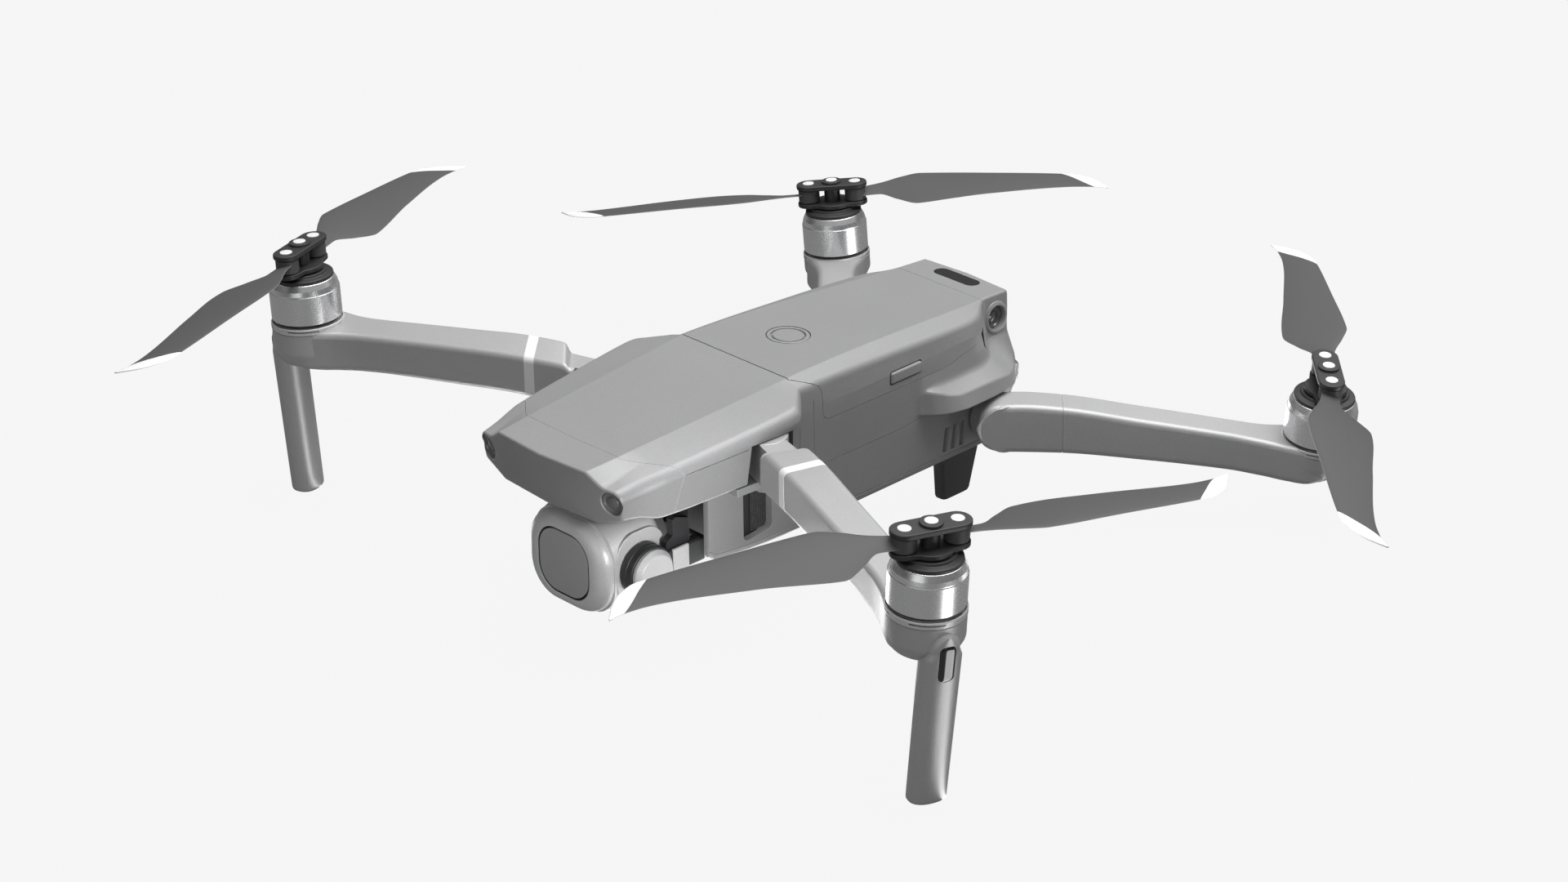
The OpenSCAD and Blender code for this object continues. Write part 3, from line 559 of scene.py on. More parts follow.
front = {
    "noseY": -122.0, "bendY": -100.0, "midSeam": -35.0, "seamGap": 0.16, "backEdge": 0.2,
    "noseSeam": [(0, -107.6), (22.6, -107.0), (30.0, -100.9), (36.6, -95.3), (38.4, -93.2), (60, -91.6)],
    "seamReach": (-150, 40, 90),
    "floorZ": 53.3, "creaseRadius": 1.6, "middleRadius": 6.0, "ridgeRadius": 4.2, "lowRadius": 1.8,
    "chinRadius": 1.6, "frontRadius": 1.0,
    "creaseX": [(-121, 21.0), (-35, 24.9)], "creaseZ": [(-122, 72.1), (-35, 77.4)],
    "ridgeX": [(-122, 34.4), (-117, 35.0), (-94, 38.5), (-70, 40.6), (-48, 41.9), (-44.6, 41.5),
               (-41.5, 38.6), (-35, 31.4)],
    "ridgeZ": [(-122, 67.5), (-117, 67.9), (-94, 70.2), (-44.5, 74.2), (-35, 75.2)],
    "middleShare": 0.42, "sag": [(-122, 2.1), (-114, 1.3), (-106, 0.4), (-99, 0.0)],
    "lowIn": [(-122, 1.4), (-110, 2.0), (-94, 2.6), (-44, 3.4), (-41.5, 2.2), (-35, 0.5)],
    "lowZ": [(-122, 57.2), (-114, 56.3), (-104, 53.9), (-99, 53.3)],
    "chinX": 22.0, "sweep": 1.5, "sweepAt": 21.0, "rake": 0.15,
    # cross-sections: close ones over the shoulder, then (first, step, count), then those of the nose
    "closeRows": [-36, -37, -38.5, -40, -41.5, -42.5, -43.6, -44.6, -45.5, -46.5, -48, -50],
    "evenRows": [(-54, -4.0, 11)], "noseRows": 26, "noseStart": 0.012,
    "noseMiddle": 63, "noseShares": (0.86, 0.7, 0.54, 0.38, 0.22, 0.08),
    "rooms": [((-22, -112, 52.0), (22, -68, 59.3)), ((-22, -69, 52.0), (22, -38, 69.3))],
    "slotY": (-66.0, -39.5), "slotZ": (52, 68.6), "slotX": (25.0, 60), "slotEase": 1.2,
    "slotBack": (31.0, -30),
    # parting line: first y, step, count, height and its rise along the run, half width, reach out and in
    "partRows": (-92.0, 2.0, 14), "partZ": 67.3, "partRise": 0.5 / 27, "partHalf": 0.12,
    "partReach": (1.5, -1.25),
    "shelf": [(24, -69.9, 0.3), (37.4, -69.9, 0.3), (38.2, -56, 2), (37.6, -47, 2.5), (31.2, -43.5, 0.5),
              (24, -43.5, 0.3)],
    "shelfZ": (50.4, 53.2), "shelfEdge": 0.4,
    "lensAt": (29.7, 62.8), "lensRadius": 4.2, "lensLip": 0.25, "lensDeep": -3.2,
}


def noseFace(x, z):
    # how far forward the nose reaches at a point of its front
    swept = front["sweep"] * (x / front["sweepAt"]) ** 2
    return front["noseY"] + swept + front["rake"] * (along(front["creaseZ"], front["noseY"]) - z)


def frontHalf(y):
    crease = Vector((along(front["creaseX"], y), along(front["creaseZ"], y)))
    ridge = Vector((along(front["ridgeX"], y), along(front["ridgeZ"], y)))
    low = Vector((ridge.x - along(front["lowIn"], y), along(front["lowZ"], y)))
    middle = crease.lerp(ridge, front["middleShare"]) - Vector((0, along(front["sag"], y)))
    chin = Vector((front["chinX"], front["floorZ"]))
    return roundedRun([
        ((0, crease.y), 0), (crease, front["creaseRadius"]), (middle, front["middleRadius"]),
        (ridge, front["ridgeRadius"]), (low, front["lowRadius"]), (chin, front["chinRadius"]),
        ((0, chin.y), 0)], 7)


def wholeSection(half):
    return [Vector(p) for p in half] + [Vector((-p.x, p.y)) for p in reversed(half[1:-1])]


def frontRings():
    # one form from the battery to the nose, whose last stretch follows the bowed front
    start, bend, radius = front["midSeam"] - front["seamGap"] / 2, front["bendY"], front["frontRadius"]
    reach = front["noseY"] - bend
    stations = [start - front["backEdge"]] + front["closeRows"] + evenly(front["evenRows"])
    rings = [[(p.x, start, p.y) for p in shrunk(wholeSection(frontHalf(start)), front["backEdge"])]]
    rings += [[(p.x, y, p.y) for p in wholeSection(frontHalf(y))] for y in stations]

    def ring(line, share, lift=0.0):
        return [(p.x, bend + share * (noseFace(p.x, p.y) - bend) + lift, p.y) for p in line]

    count, begin = front["noseRows"], front["noseStart"]
    last = 1 - radius / abs(reach)
    for k in range(count + 1):
        line = wholeSection(frontHalf(bend + k / count * reach))
        rings.append(ring(line, begin + k / count * (last - begin)))
    outline = wholeSection(frontHalf(front["noseY"]))
    for s, c in quarter(5, 1):
        rings.append(ring(inset(outline, radius * (1 - c)), 1.0, radius * (1 - s)))
    middle = Vector((0, front["noseMiddle"]))
    for share in front["noseShares"]:
        rings.append(ring([middle + (p - middle) * share for p in inset(outline, radius)], 1.0))
    return rings


def aheadOfSeam(gap):
    # everything ahead of the nose seam, which runs back over the bevels and down the sides
    ahead, low, high = front["seamReach"]
    half = [Vector(p) for p in front["noseSeam"]]
    line = [Vector((-p.x, p.y)) for p in reversed(half[1:])] + half
    line += [Vector((line[-1].x, ahead)), Vector((line[0].x, ahead))]
    return prism(inset(line, gap), low, high)


def noseLensAxis():
    x, z = front["lensAt"]
    lean = Vector((2 * front["sweep"] * x / front["sweepAt"] ** 2, -1, -front["rake"])).normalized()
    return lean, Vector((x, noseFace(x, z), z))


def makeNose():
    shell = addObject("upper_shell", loft(frontRings()))
    for room in front["rooms"]:
        carve(shell, block(*room))
    cap = copyOf(shell, "nose_cap")
    carve(cap, aheadOfSeam(front["seamGap"] / 2), "INTERSECT")
    carve(shell, aheadOfSeam(-front["seamGap"] / 2))
    axis, centre = noseLensAxis()
    radius, deep = front["lensRadius"], front["lensDeep"]
    lip = radius + front["lensLip"]
    seat = softProfile([(0, deep, 0), (radius, deep, 0), (radius, -0.3, 0), (lip, 0.05, 0), (lip, 2, 0),
                        (0, 2, 0)], 1)
    carve(cap, bothSides(turnedAt(centre, axis, seat)))
    finishPiece(cap, "root", "shell_grey", finishes["shell"], "nose_cap")
    return shell


def partingGroove():
    # fine line under the ridge, ahead of the arm slot
    first, step, count = front["partRows"]
    half, (out, deep) = front["partHalf"], front["partReach"]
    rings = []
    for y in [first - 1 + k * step for k in range(count)]:
        ridge = along(front["ridgeX"], y)
        z = front["partZ"] + front["partRise"] * (y - first)
        rings.append([(ridge + out, y, z - half), (ridge + out, y, z + half),
                      (ridge + deep, y, z + half), (ridge + deep, y, z - half)])
    return loft(rings)


def makeUpperShell(shell):
    (start, end), (low, roof), (inner, outer) = (front[k] for k in ("slotY", "slotZ", "slotX"))
    backIn, backEnd = front["slotBack"]
    carve(shell, bothSides(block((inner, start, low), (outer, end + front["slotEase"], roof))))
    carve(shell, bothSides(block((backIn, end, low), (outer, backEnd, roof))))
    carve(shell, bothSides(partingGroove()))
    shelf = prism(roundedOutline(front["shelf"]), *front["shelfZ"], front["shelfEdge"])
    ledge = addObject("arm_shelf", bothSides(shelf))
    finishPiece(ledge, "root", "shell_grey", finishes["shell"])
    finishPiece(shell, "root", "shell_grey", finishes["shell"], "upper_shell")


# casing, rear: battery, side frame, lower shell and tail

aft = {
    "chinY": -77.0, "sternY": 74.0, "sideX": 31.0, "bellyZ": 24.0, "taperStart": 60.0, "taperDepth": 2.5,
    "creaseX": [(-35, 24.9), (78, 19.2)], "creaseZ": [(-77, 75.0), (-35, 77.4), (78, 71.6)],
    "edgeX": [(-77, 30.4), (-35, 30.4), (20, 29.4), (50, 27.9), (56, 26.7), (58.6, 25.3), (61, 23.2),
              (63, 21.2), (64.4, 20.4), (67, 20.2), (74, 19.9)],
    "edgeZ": [(-77, 73.0), (-35, 74.4), (20, 72.6), (55, 70.9), (59, 70.8), (62, 71.2), (64.4, 71.6),
              (74, 71.1)],
    "upperX": [(-77, 30.9), (30, 30.8), (48, 30.4), (53, 29.2), (57, 27.2), (60, 24.6), (62.5, 22.2),
               (64.6, 20.9), (67, 20.6), (74, 20.4)],
    "upperZ": 66.0,
    "middleX": [(-77, 31.0), (42, 31.0), (50, 30.8), (54, 29.8), (57.5, 27.9), (60.5, 25.2), (63, 22.7),
                (65, 21.3), (67.5, 20.8), (74, 20.6)],
    "middleZ": 60.0,
    "footX": [(-77, 31.0), (21, 31.0), (25, 31.6), (34, 31.9), (48, 31.9), (54, 31.2), (58, 29.6), (61, 26.6),
              (63.5, 23.6), (66, 21.9), (69, 21.4), (74, 21.0)],
    "footZ": [(-77, 55.4), (52, 55.4), (60, 56.2), (65, 57.0), (74, 57.0)],
    "roofTopX": [(-77, 31.0), (20.5, 31.0), (22.5, 31.5), (25, 33.6), (28, 35.2), (31.5, 36.5), (36, 37.4),
                 (48, 37.8), (60, 36.9), (66, 34.2), (71, 29.6), (74, 25.6)],
    "roofTopZ": [(-77, 53.6), (20, 53.6), (25, 55.0), (28, 54.2), (32, 52.6), (37, 51.8), (48, 51.9),
                 (61, 51.0), (74, 50.0)],
    "roofLowX": [(-77, 31.0), (20, 31.0), (21.5, 31.6), (23.5, 33.6), (25.6, 35.8), (28.5, 37.6), (32, 38.9),
                 (38, 40.0), (49, 39.7), (61, 38.4), (66, 35.6), (71, 30.8), (74, 26.6)],
    "roofLowZ": (46.7, 46.2), "wallTopZ": (46.1, 45.2),
    "bellyLift": [(-77, 4.0), (-74, 2.4), (-42, 0.0), (58, 0.0), (62, 3.0), (68, 10.0), (74, 17.0)],
    # fine line low on the walls: its depth, and heights above the belly
    "lowLine": (0.3, (2.9, 2.75, 2.5, 2.35)),
    # corner radii of the cross-section, from the deck's middle to the belly's
    "radii": (0, 1.6, 3.4, 4.0, 5.0, 4.2, 2.2, 0.9, 0.3, 0.2, 0.4, 0.1, 0.05, 0.05, 0.1, 2.0, 0),
    # cross-sections: those ahead of the roofs, then rows of (first, step, count), then the last few
    "foreRows": [-74, -66, -58, -50, -42, -36, -34, -28, -20, -10, 0, 10, 16, 19],
    "evenRows": [(20, 0.75, 26), (40, 1.5, 20)], "lastRows": [70, 71.5, 73], "leadEdge": (1.2, 0.35),
    "tailEnd": 79.5, "tailHalf": 24.5, "tailTopZ": 72, "tailBow": 2.0, "tailRake": 0.05, "tailRadius": 1.4,
    "tailMiddle": 56, "tailShares": (0.8, 0.6, 0.4, 0.2, 0.06),
    "seam": [(-35, 95), (-35, 77.1), (-28.3, 74.7), (-25.5, 73.0), (-24.4, 70.5), (-24.1, 62.0),
             (-22.2, 60.2), (33.0, 60.0), (37.5, 60.5), (43.0, 61.8), (47.5, 62.4),
             (51.5, 63.0), (55.0, 64.6), (58.5, 66.4), (61.5, 67.4), (64.1, 68.6), (64.1, 95)],
    "seamGap": 0.2, "seamRadius": 1.2,
    "tailPart": [(64.1, 100), (64.1, 57.3), (74.4, 57.3), (74.4, 46.3), (120, 46.3), (120, 100)],
    "parting": [(-46.5, 44.3), (14, 44.5), (20, 45.0), (23.5, 45.9), (26, 46.15), (140, 46.15)],
    "partingGap": 0.1, "partingDepth": 0.4,
    "bay": ((-28.6, -120, 10), (28.6, -52.5, 80)), "cavity": ((-28.4, -49.5, 26.3), (28.4, 58, 68.0)),
    "intakeY": (-61.5, -48.3), "intakeZ": (28.6, 51.0), "intakeX": (26, 31.4), "intakeRise": 1.2,
    "ventY": 35.3, "ventStep": 4.15, "ventZ": (27.8, 36.9), "ventWidth": 2.3, "ventLean": 0.7,
    "ventX": (29.3, 30.6, 33),
    "panelSeamY": (-28.62, -28.38), "panelSeamZ": (50.4, 69.0), "panelSeamX": (30.5, 33),
    # room for the rear arm's knuckle: centre, turn of its axis, radius, start before the centre and length
    "knuckleAt": (40.0, 53.0, 36.0), "knuckleTurn": -20.76, "knuckleRoom": (9.4, 6.75, 30),
    "clipY": (8.0, 22.7), "clipZ": (62.6, 66.6), "clipX": (24.6, 30.9), "clipEdge": 0.7,
    "pocketX": (22.4, 40), "pocketGap": 0.45, "pocketRadius": 0.8,
    "buttonY": -9.7, "buttonRadius": 7.4, "buttonGap": 0.3, "buttonWell": (-3.6, 3),
    "windowY": 73.1, "windowSize": (19.6, 5.9), "windowGap": 0.3, "windowWell": (-1.4, 3),
    "windowZ": (-1.2, 0.06),
    "tailLensAt": (71.0, 63.6), "tailLensRadius": 4.4, "tailLensWell": (-3.6, 5), "tailLensSunk": 0.5,
    "bellyLensY": (18, 54),
}
tailLensAxis = Vector((1.0, 0.04, 0.06)).normalized()


def tailFace(x, z):
    # how far back the tail reaches at a point of its end
    bowed = aft["tailBow"] * (x / aft["tailHalf"]) ** 2
    return aft["tailEnd"] - bowed - aft["tailRake"] * abs(aft["tailTopZ"] - z)


def tailShare(y):
    # 0 up to the start of the tail's taper, 1 at its end
    return max(0.0, (y - aft["taperStart"]) / (aft["sternY"] - aft["taperStart"]))


def aftHalf(y):
    def at(name):
        return along(aft[name], y)

    low = aft["bellyZ"] + at("bellyLift")
    wall = aft["sideX"] - tailShare(y) * aft["taperDepth"]
    eave = at("roofLowX")
    lip = min(0.8, max(0.0, eave - wall) * 0.4)
    (eaveZ, lipZ), (wallTop, wallEdge) = aft["roofLowZ"], aft["wallTopZ"]
    deep, (lineTop, lineIn, lineOut, lineLow) = aft["lowLine"]
    points = [
        (0, at("creaseZ")), (at("creaseX"), at("creaseZ")), (at("edgeX"), at("edgeZ")),
        (at("upperX"), aft["upperZ"]), (at("middleX"), aft["middleZ"]), (at("footX"), at("footZ")),
        (at("roofTopX"), at("roofTopZ") - 0.4), (eave, eaveZ), (eave - lip, lipZ),
        (wall, wallTop), (wall, wallEdge), (wall, low + lineTop), (wall - deep, low + lineIn),
        (wall - deep, low + lineOut), (wall - 0.05, low + lineLow), (wall - deep, low), (0, low)]
    return roundedRun(list(zip(points, aft["radii"])), 5)


def aftRings():
    first, radius = aft["chinY"], aft["tailRadius"]
    stations = aft["foreRows"] + evenly(aft["evenRows"])
    chin = wholeSection(aftHalf(first))
    wide, narrow = aft["leadEdge"]
    rings = [[(p.x, first, p.y) for p in shrunk(chin, wide)],
             [(p.x, first + narrow, p.y) for p in shrunk(chin, narrow)]]

    def stretched(y, p):
        # the last stretch follows the bowed tail
        return y + tailShare(y) ** 1.5 * (tailFace(p.x, p.y) - radius - aft["sternY"])

    for y in stations + aft["lastRows"]:
        rings.append([(p.x, stretched(y, p), p.y) for p in wholeSection(aftHalf(y))])
    outline = wholeSection(aftHalf(aft["sternY"]))
    for s, c in quarter(5):
        line = shrunk(outline, radius * (1 - c))
        rings.append([(p.x, tailFace(p.x, p.y) - radius * (1 - s), p.y) for p in line])
    middle = Vector((0, aft["tailMiddle"]))
    for share in aft["tailShares"]:
        line = [middle + (p - middle) * share for p in shrunk(outline, radius)]
        rings.append([(p.x, tailFace(p.x, p.y), p.y) for p in line])
    return rings


def rightThrough(line, reach=70):
    # outline in the (y, z) plane, drawn out along x both ways
    return sidewaysLoft([(-reach, line), (reach, line)])


def makeAft():
    pack = addObject("battery_pack", loft(aftRings()))
    shell = copyOf(pack, "lower_shell")
    seam = roundedRun([(point, aft["seamRadius"]) for point in aft["seam"]], 4)
    carve(pack, rightThrough(inset(seam, aft["seamGap"] / 2)), "INTERSECT")
    carve(shell, rightThrough(inset(seam, -aft["seamGap"] / 2)))
    carve(shell, block((-far, -far, front["floorZ"] - 0.1), (far, front["midSeam"] + 0.05, far)))
    carve(shell, block(*aft["cavity"]))
    carve(shell, block(*aft["bay"]))
    tail = copyOf(shell, "tail_cap")
    carve(tail, rightThrough(aft["tailPart"]), "INTERSECT")
    carve(shell, rightThrough(aft["tailPart"]))
    half = aft["partingGap"]
    line = [(y, z - half) for y, z in aft["parting"]] + [(y, z + half) for y, z in reversed(aft["parting"])]
    carve(shell, bothSides(sidewaysLoft([(aft["sideX"] - aft["partingDepth"], line), (70, line)])))
    return pack, shell, tail


def deckAt(y):
    # a point of the sloping rear deck, and the way that it faces
    (startY, startZ), (endY, endZ) = aft["creaseZ"][1:]
    slope = math.atan((startZ - endZ) / (endY - startY))
    return Vector((0, y, along(aft["creaseZ"], y))), Vector((0, math.sin(slope), math.cos(slope)))


def makeBattery(pack):
    deck, up = deckAt(aft["buttonY"])
    r = aft["buttonRadius"]
    carve(pack, turnedAt(deck, up, softRod(r + aft["buttonGap"], *aft["buttonWell"])))
    (low, high), (bottom, top), gap = aft["clipY"], aft["clipZ"], aft["pocketGap"]
    pocket = roundedBox((low - gap, bottom - gap), (high + gap, top + gap), aft["pocketRadius"])
    carve(pack, bothSides(sidewaysLoft([(x, pocket) for x in aft["pocketX"]])))
    finishPiece(pack, "root", "deck_grey", finishes["deck"], "battery_pack")
    # the button's rim and its ring groove
    cap = softProfile([(0, -1.9, 0), (r - 0.05, -1.9, 0.1), (r - 0.05, 0.0, 0.25), (r - 1.3, 0.0, 0.15),
                       (r - 1.35, -0.9, 0.05), (r - 1.95, -0.9, 0.05), (r - 2.05, 0.0, 0.2), (0, 0.05, 0)])
    button = addObject("power_button", turnedAt(deck, up, cap, 96))
    finishPiece(button, "power_button", "deck_grey", finishes["deck"], "power_button")
    edge, (inner, outer) = aft["clipEdge"], aft["clipX"]
    outline = roundedBox((low, bottom), (high, top), edge)
    rows = [(inner, outline), (outer, outline)]
    rows += [(outer + edge * s, inset(outline, edge * (1 - c))) for s, c in quarter(4, 1)]
    for side, sign in sides:
        name = "battery_clip_" + side
        clip = addObject(name, sided(sidewaysLoft(rows), sign))
        finishPiece(clip, name, "deck_grey", finishes["deck"], name)


def ventSolid(y):
    # slanted slot that flares outwards
    bottom, top = aft["ventZ"]
    half, lean = aft["ventWidth"] / 2, aft["ventLean"]
    deep, wall, out = aft["ventX"]
    line = roundedOutline([(y - half - lean, bottom, 0.6), (y + half - lean, bottom, 0.6),
                           (y + half + lean, top, 0.6), (y - half + lean, top, 0.6)], 4)
    back = [(p.x - 0.4, p.y) for p in inset(line, 0.35)]
    return sidewaysLoft([(deep, back), (wall, line), (out, inset(line, -0.3))])


def knuckleAxis():
    turn = math.radians(aft["knuckleTurn"])
    return Vector((math.cos(turn), math.sin(turn), 0))


def makeLowerShell(shell):
    (low, high), (bottom, top), (inner, outer) = (aft[k] for k in ("intakeY", "intakeZ", "intakeX"))
    mouth = roundedOutline([(low, bottom, 2.2), (high, bottom + aft["intakeRise"], 2.2), (high, top, 0.5),
                            (low, top, 0.5)])
    carve(shell, bothSides(sidewaysLoft([(inner, inset(mouth, 0.5)), (outer, mouth)])))
    radius, before, length = aft["knuckleRoom"]
    start = Vector(aft["knuckleAt"]) - knuckleAxis() * before
    carve(shell, bothSides(turnedAt(start, knuckleAxis(), rodProfile(radius, 0, length), 72)))
    # three vents beside each rear arm
    vents = [ventSolid(aft["ventY"] + aft["ventStep"] * k) for k in range(3)]
    carve(shell, bothSides(merge(*vents)))
    # fine upright seam behind each shoulder
    seam = zip(aft["panelSeamX"], aft["panelSeamY"], aft["panelSeamZ"])
    carve(shell, bothSides(block(*seam)))
    finishPiece(shell, "root", "shell_grey", finishes["shell"], "lower_shell")


def tailLensPlace():
    y, z = aft["tailLensAt"]
    return Vector((along(aft["upperX"], 70) + 0.1, y, z))


def makeTail(tail):
    length, width = aft["windowSize"]
    deck, up = deckAt(aft["windowY"])
    place, gap = aimed(up, deck), aft["windowGap"]
    carve(tail, placed(prism(stadium(length + gap, width + gap), *aft["windowWell"]), place))
    r = aft["tailLensRadius"]
    carve(tail, bothSides(turnedAt(tailLensPlace(), tailLensAxis, softRod(r + 0.5, *aft["tailLensWell"]))))
    finishPiece(tail, "root", "shell_grey", finishes["shell"], "tail_cap")
    collar = softProfile([(r - 0.1, -3.4, 0), (r + 0.45, -3.4, 0), (r + 0.45, -0.4, 0), (r + 1.9, -0.4, 0.1),
                          (r + 1.5, 0.25, 0.6), (r + 0.6, 0.75, 0.4), (r + 0.05, 0.55, 0.3),
                          (r - 0.15, -0.6, 0.2)])
    ring = addObject("tail_lens_rings", bothSides(turnedAt(tailLensPlace(), tailLensAxis, collar, 72)))
    finishPiece(ring, "root", "shell_grey", finishes["shell"])
    pane = addObject("top_window", placed(prism(stadium(length, width), *aft["windowZ"], 0.25), place))
    finishPiece(pane, "root", "black_gloss", finishes["window"], "top_window")


def lensStack(r):
    # sunk lens: black wall, stepped baffle and a domed front element
    return softProfile([(0, -3.0, 0), (r, -3.0, 0), (r, -0.7, 0.15), (r - 0.5, -0.6, 0.1),
                        (r - 0.9, -1.2, 0.1), (r - 2.0, -1.3, 0.1), (r - 2.2, -0.9, 0.3),
                        (r - 3.4, -0.65, 0.6), (0, -0.55, 0)])


def makeLenses():
    axis, centre = noseLensAxis()
    nose = turnedAt(centre, axis, lensStack(front["lensRadius"] - 0.08), 72)
    stack = [(r, z - aft["tailLensSunk"]) for r, z in lensStack(aft["tailLensRadius"] - 0.2)]
    tail = turnedAt(tailLensPlace(), tailLensAxis, stack, 72)
    dome = softProfile([(0, -1, 0), (3.5, -1, 0), (3.5, 0.4, 0.3), (2.4, 0.5, 0.2), (0, 0.1, 0)])
    down = Vector((0, 0, -1))
    belly = [turnedAt(Vector((0, y, aft["bellyZ"] - 0.1)), down, dome) for y in aft["bellyLensY"]]
    lenses = addObject("vision_lenses", merge(bothSides(nose), bothSides(tail), *belly))
    finishPiece(lenses, "root", "lens_glass", finishes["lens"], "vision_lenses")


makeUpperShell(makeNose())
batteryPack, lowerShell, tailCap = makeAft()
makeBattery(batteryPack)
makeLowerShell(lowerShell)
makeTail(tailCap)
makeLenses()
print("casing ready")


# feet, and the mesh in the air intakes

feet = {
    "topX": (17.0, 21.8), "inward": 2.6, "topY": (42.5, 64.0), "footY": (47.0, 60.5), "sole": 1.2,
    "soleShare": 0.06, "radii": (1.2, 1.4),
}


def makeFeet():
    sole, soleShare = feet["sole"], feet["soleShare"]
    inRadius, outRadius = feet["radii"]
    rings = []
    for share in [0, 0.02, soleShare] + [0.1 * k for k in range(1, 11)]:
        grow = sole * math.sqrt(max(0.0, 1 - (1 - min(share / soleShare, 1)) ** 2)) - sole
        x0, x1 = (x - feet["inward"] * (1 - share) for x in feet["topX"])
        y0, y1 = (foot + (top - foot) * share for foot, top in zip(feet["footY"], feet["topY"]))
        line = roundedOutline([
            (x0 - grow * 0.5, y0 - grow, inRadius), (x1 + grow * 0.5, y0 - grow, outRadius),
            (x1 + grow * 0.5, y1 + grow, outRadius), (x0 - grow * 0.5, y1 + grow, inRadius)])
        rings.append([(p.x, p.y, aft["bellyZ"] * share) for p in line])
    pair = addObject("rear_feet", bothSides(loft(rings)))
    finishPiece(pair, "root", "dark_plastic", finishes["foot"], "rear_feet")


grille = {
    "y": (-55.2, -49.0), "x": 28.3, "lift": 1.5, "spare": 0.6, "bars": (8, 27), "wire": 0.26,
    "backX": (27.4, 27.9),
}


def barRow(tree, entry, span, run, count, ways):
    # even row of thin bars: ways names the axis along the row and the axis along each bar
    row = tree.nodes.new("GeometryNodeMeshLine")
    row.mode = "END_POINTS"
    for share, end in ((-0.5, "Start Location"), (0.5, "Offset")):
        point = tree.nodes.new("ShaderNodeCombineXYZ")
        tree.links.new(mathNode(tree, "MULTIPLY", entry.outputs[span], share), point.inputs[ways[0]])
        tree.links.new(point.outputs[0], row.inputs[end])
    tree.links.new(entry.outputs[count], row.inputs["Count"])
    size = tree.nodes.new("ShaderNodeCombineXYZ")
    for source, axis in (("Wire", ways[0]), (run, ways[1]), ("Wire", "Z")):
        tree.links.new(entry.outputs[source], size.inputs[axis])
    bar = tree.nodes.new("GeometryNodeMeshCube")
    tree.links.new(size.outputs[0], bar.inputs["Size"])
    spread = tree.nodes.new("GeometryNodeInstanceOnPoints")
    tree.links.new(row.outputs[0], spread.inputs["Points"])
    tree.links.new(bar.outputs[0], spread.inputs["Instance"])
    return spread.outputs[0]


def wireMeshTree(material):
    # two crossed rows of thin bars on a flat field
    tree = bpy.data.node_groups.new("wireMesh", "GeometryNodeTree")
    for label, kind in (("Width", "Float"), ("Height", "Float"), ("Bars Across", "Int"), ("Bars Up", "Int"),
                        ("Wire", "Float")):
        tree.interface.new_socket(name=label, in_out="INPUT", socket_type="NodeSocket" + kind)
    tree.interface.new_socket(name="Geometry", in_out="OUTPUT", socket_type="NodeSocketGeometry")
    entry, leave = tree.nodes.new("NodeGroupInput"), tree.nodes.new("NodeGroupOutput")
    join = tree.nodes.new("GeometryNodeJoinGeometry")
    tree.links.new(barRow(tree, entry, "Width", "Height", "Bars Across", "XY"), join.inputs[0])
    tree.links.new(barRow(tree, entry, "Height", "Width", "Bars Up", "YX"), join.inputs[0])
    real = tree.nodes.new("GeometryNodeRealizeInstances")
    paint = tree.nodes.new("GeometryNodeSetMaterial")
    paint.inputs["Material"].default_value = material
    tree.links.new(join.outputs[0], real.inputs[0])
    tree.links.new(real.outputs[0], paint.inputs["Geometry"])
    tree.links.new(paint.outputs["Geometry"], leave.inputs["Geometry"])
    return tree


def grown(name, tree, values, matrices):
    # runs a tree and keeps one plain mesh with a copy of it at each place
    holder = linkedObject(name, bpy.data.meshes.new(name))
    step = holder.modifiers.new("grow", "NODES")
    step.node_group = tree
    keys = {s.name: s.identifier for s in tree.interface.items_tree if s.in_out == "INPUT"}
    for label, value in values.items():
        step[keys[label]] = value
    applyModifiers(holder)
    bm = bmesh.new()
    for matrix in matrices:
        piece = holder.data.copy()
        piece.transform(matrix)
        bm.from_mesh(piece)
        bpy.data.meshes.remove(piece)
    bmesh.ops.recalc_face_normals(bm, faces=bm.faces)
    bm.to_mesh(holder.data)
    bm.free()
    return holder


def makeGrilles():
    (low, high), (bottom, top) = grille["y"], aft["intakeZ"]
    across, up = grille["bars"]
    quarterTurn = math.radians(90)
    turn = Matrix.Rotation(quarterTurn, 4, "Z") @ Matrix.Rotation(quarterTurn, 4, "X")
    places = []
    for _, sign in sides:
        spot = metres((sign * grille["x"], (low + high) / 2, (bottom + top) / 2 + grille["lift"]))
        places.append(Matrix.Translation(spot) @ turn)
    values = {"Width": (high - low + grille["spare"]) * unit, "Height": (top - bottom) * unit,
              "Bars Across": across, "Bars Up": up, "Wire": grille["wire"] * unit}
    mesh = grown("intakeGrilles", wireMeshTree(finishes["foot"]), values, places)
    # near-black sheet behind each intake mesh, a painted shade where the inside lies in shadow
    low, high = aft["intakeY"]
    inner, outer = grille["backX"]
    plate = addObject("intake_back", bothSides(block((inner, low - 1, bottom - 1), (outer, high + 1, top))))
    finishPiece(plate, "root", "dark_plastic", finishes["gimbal"])
    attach(mesh, "root")
    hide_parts("intake_grilles")


makeFeet()
makeGrilles()
print("feet and grilles ready")


# gimbal and camera

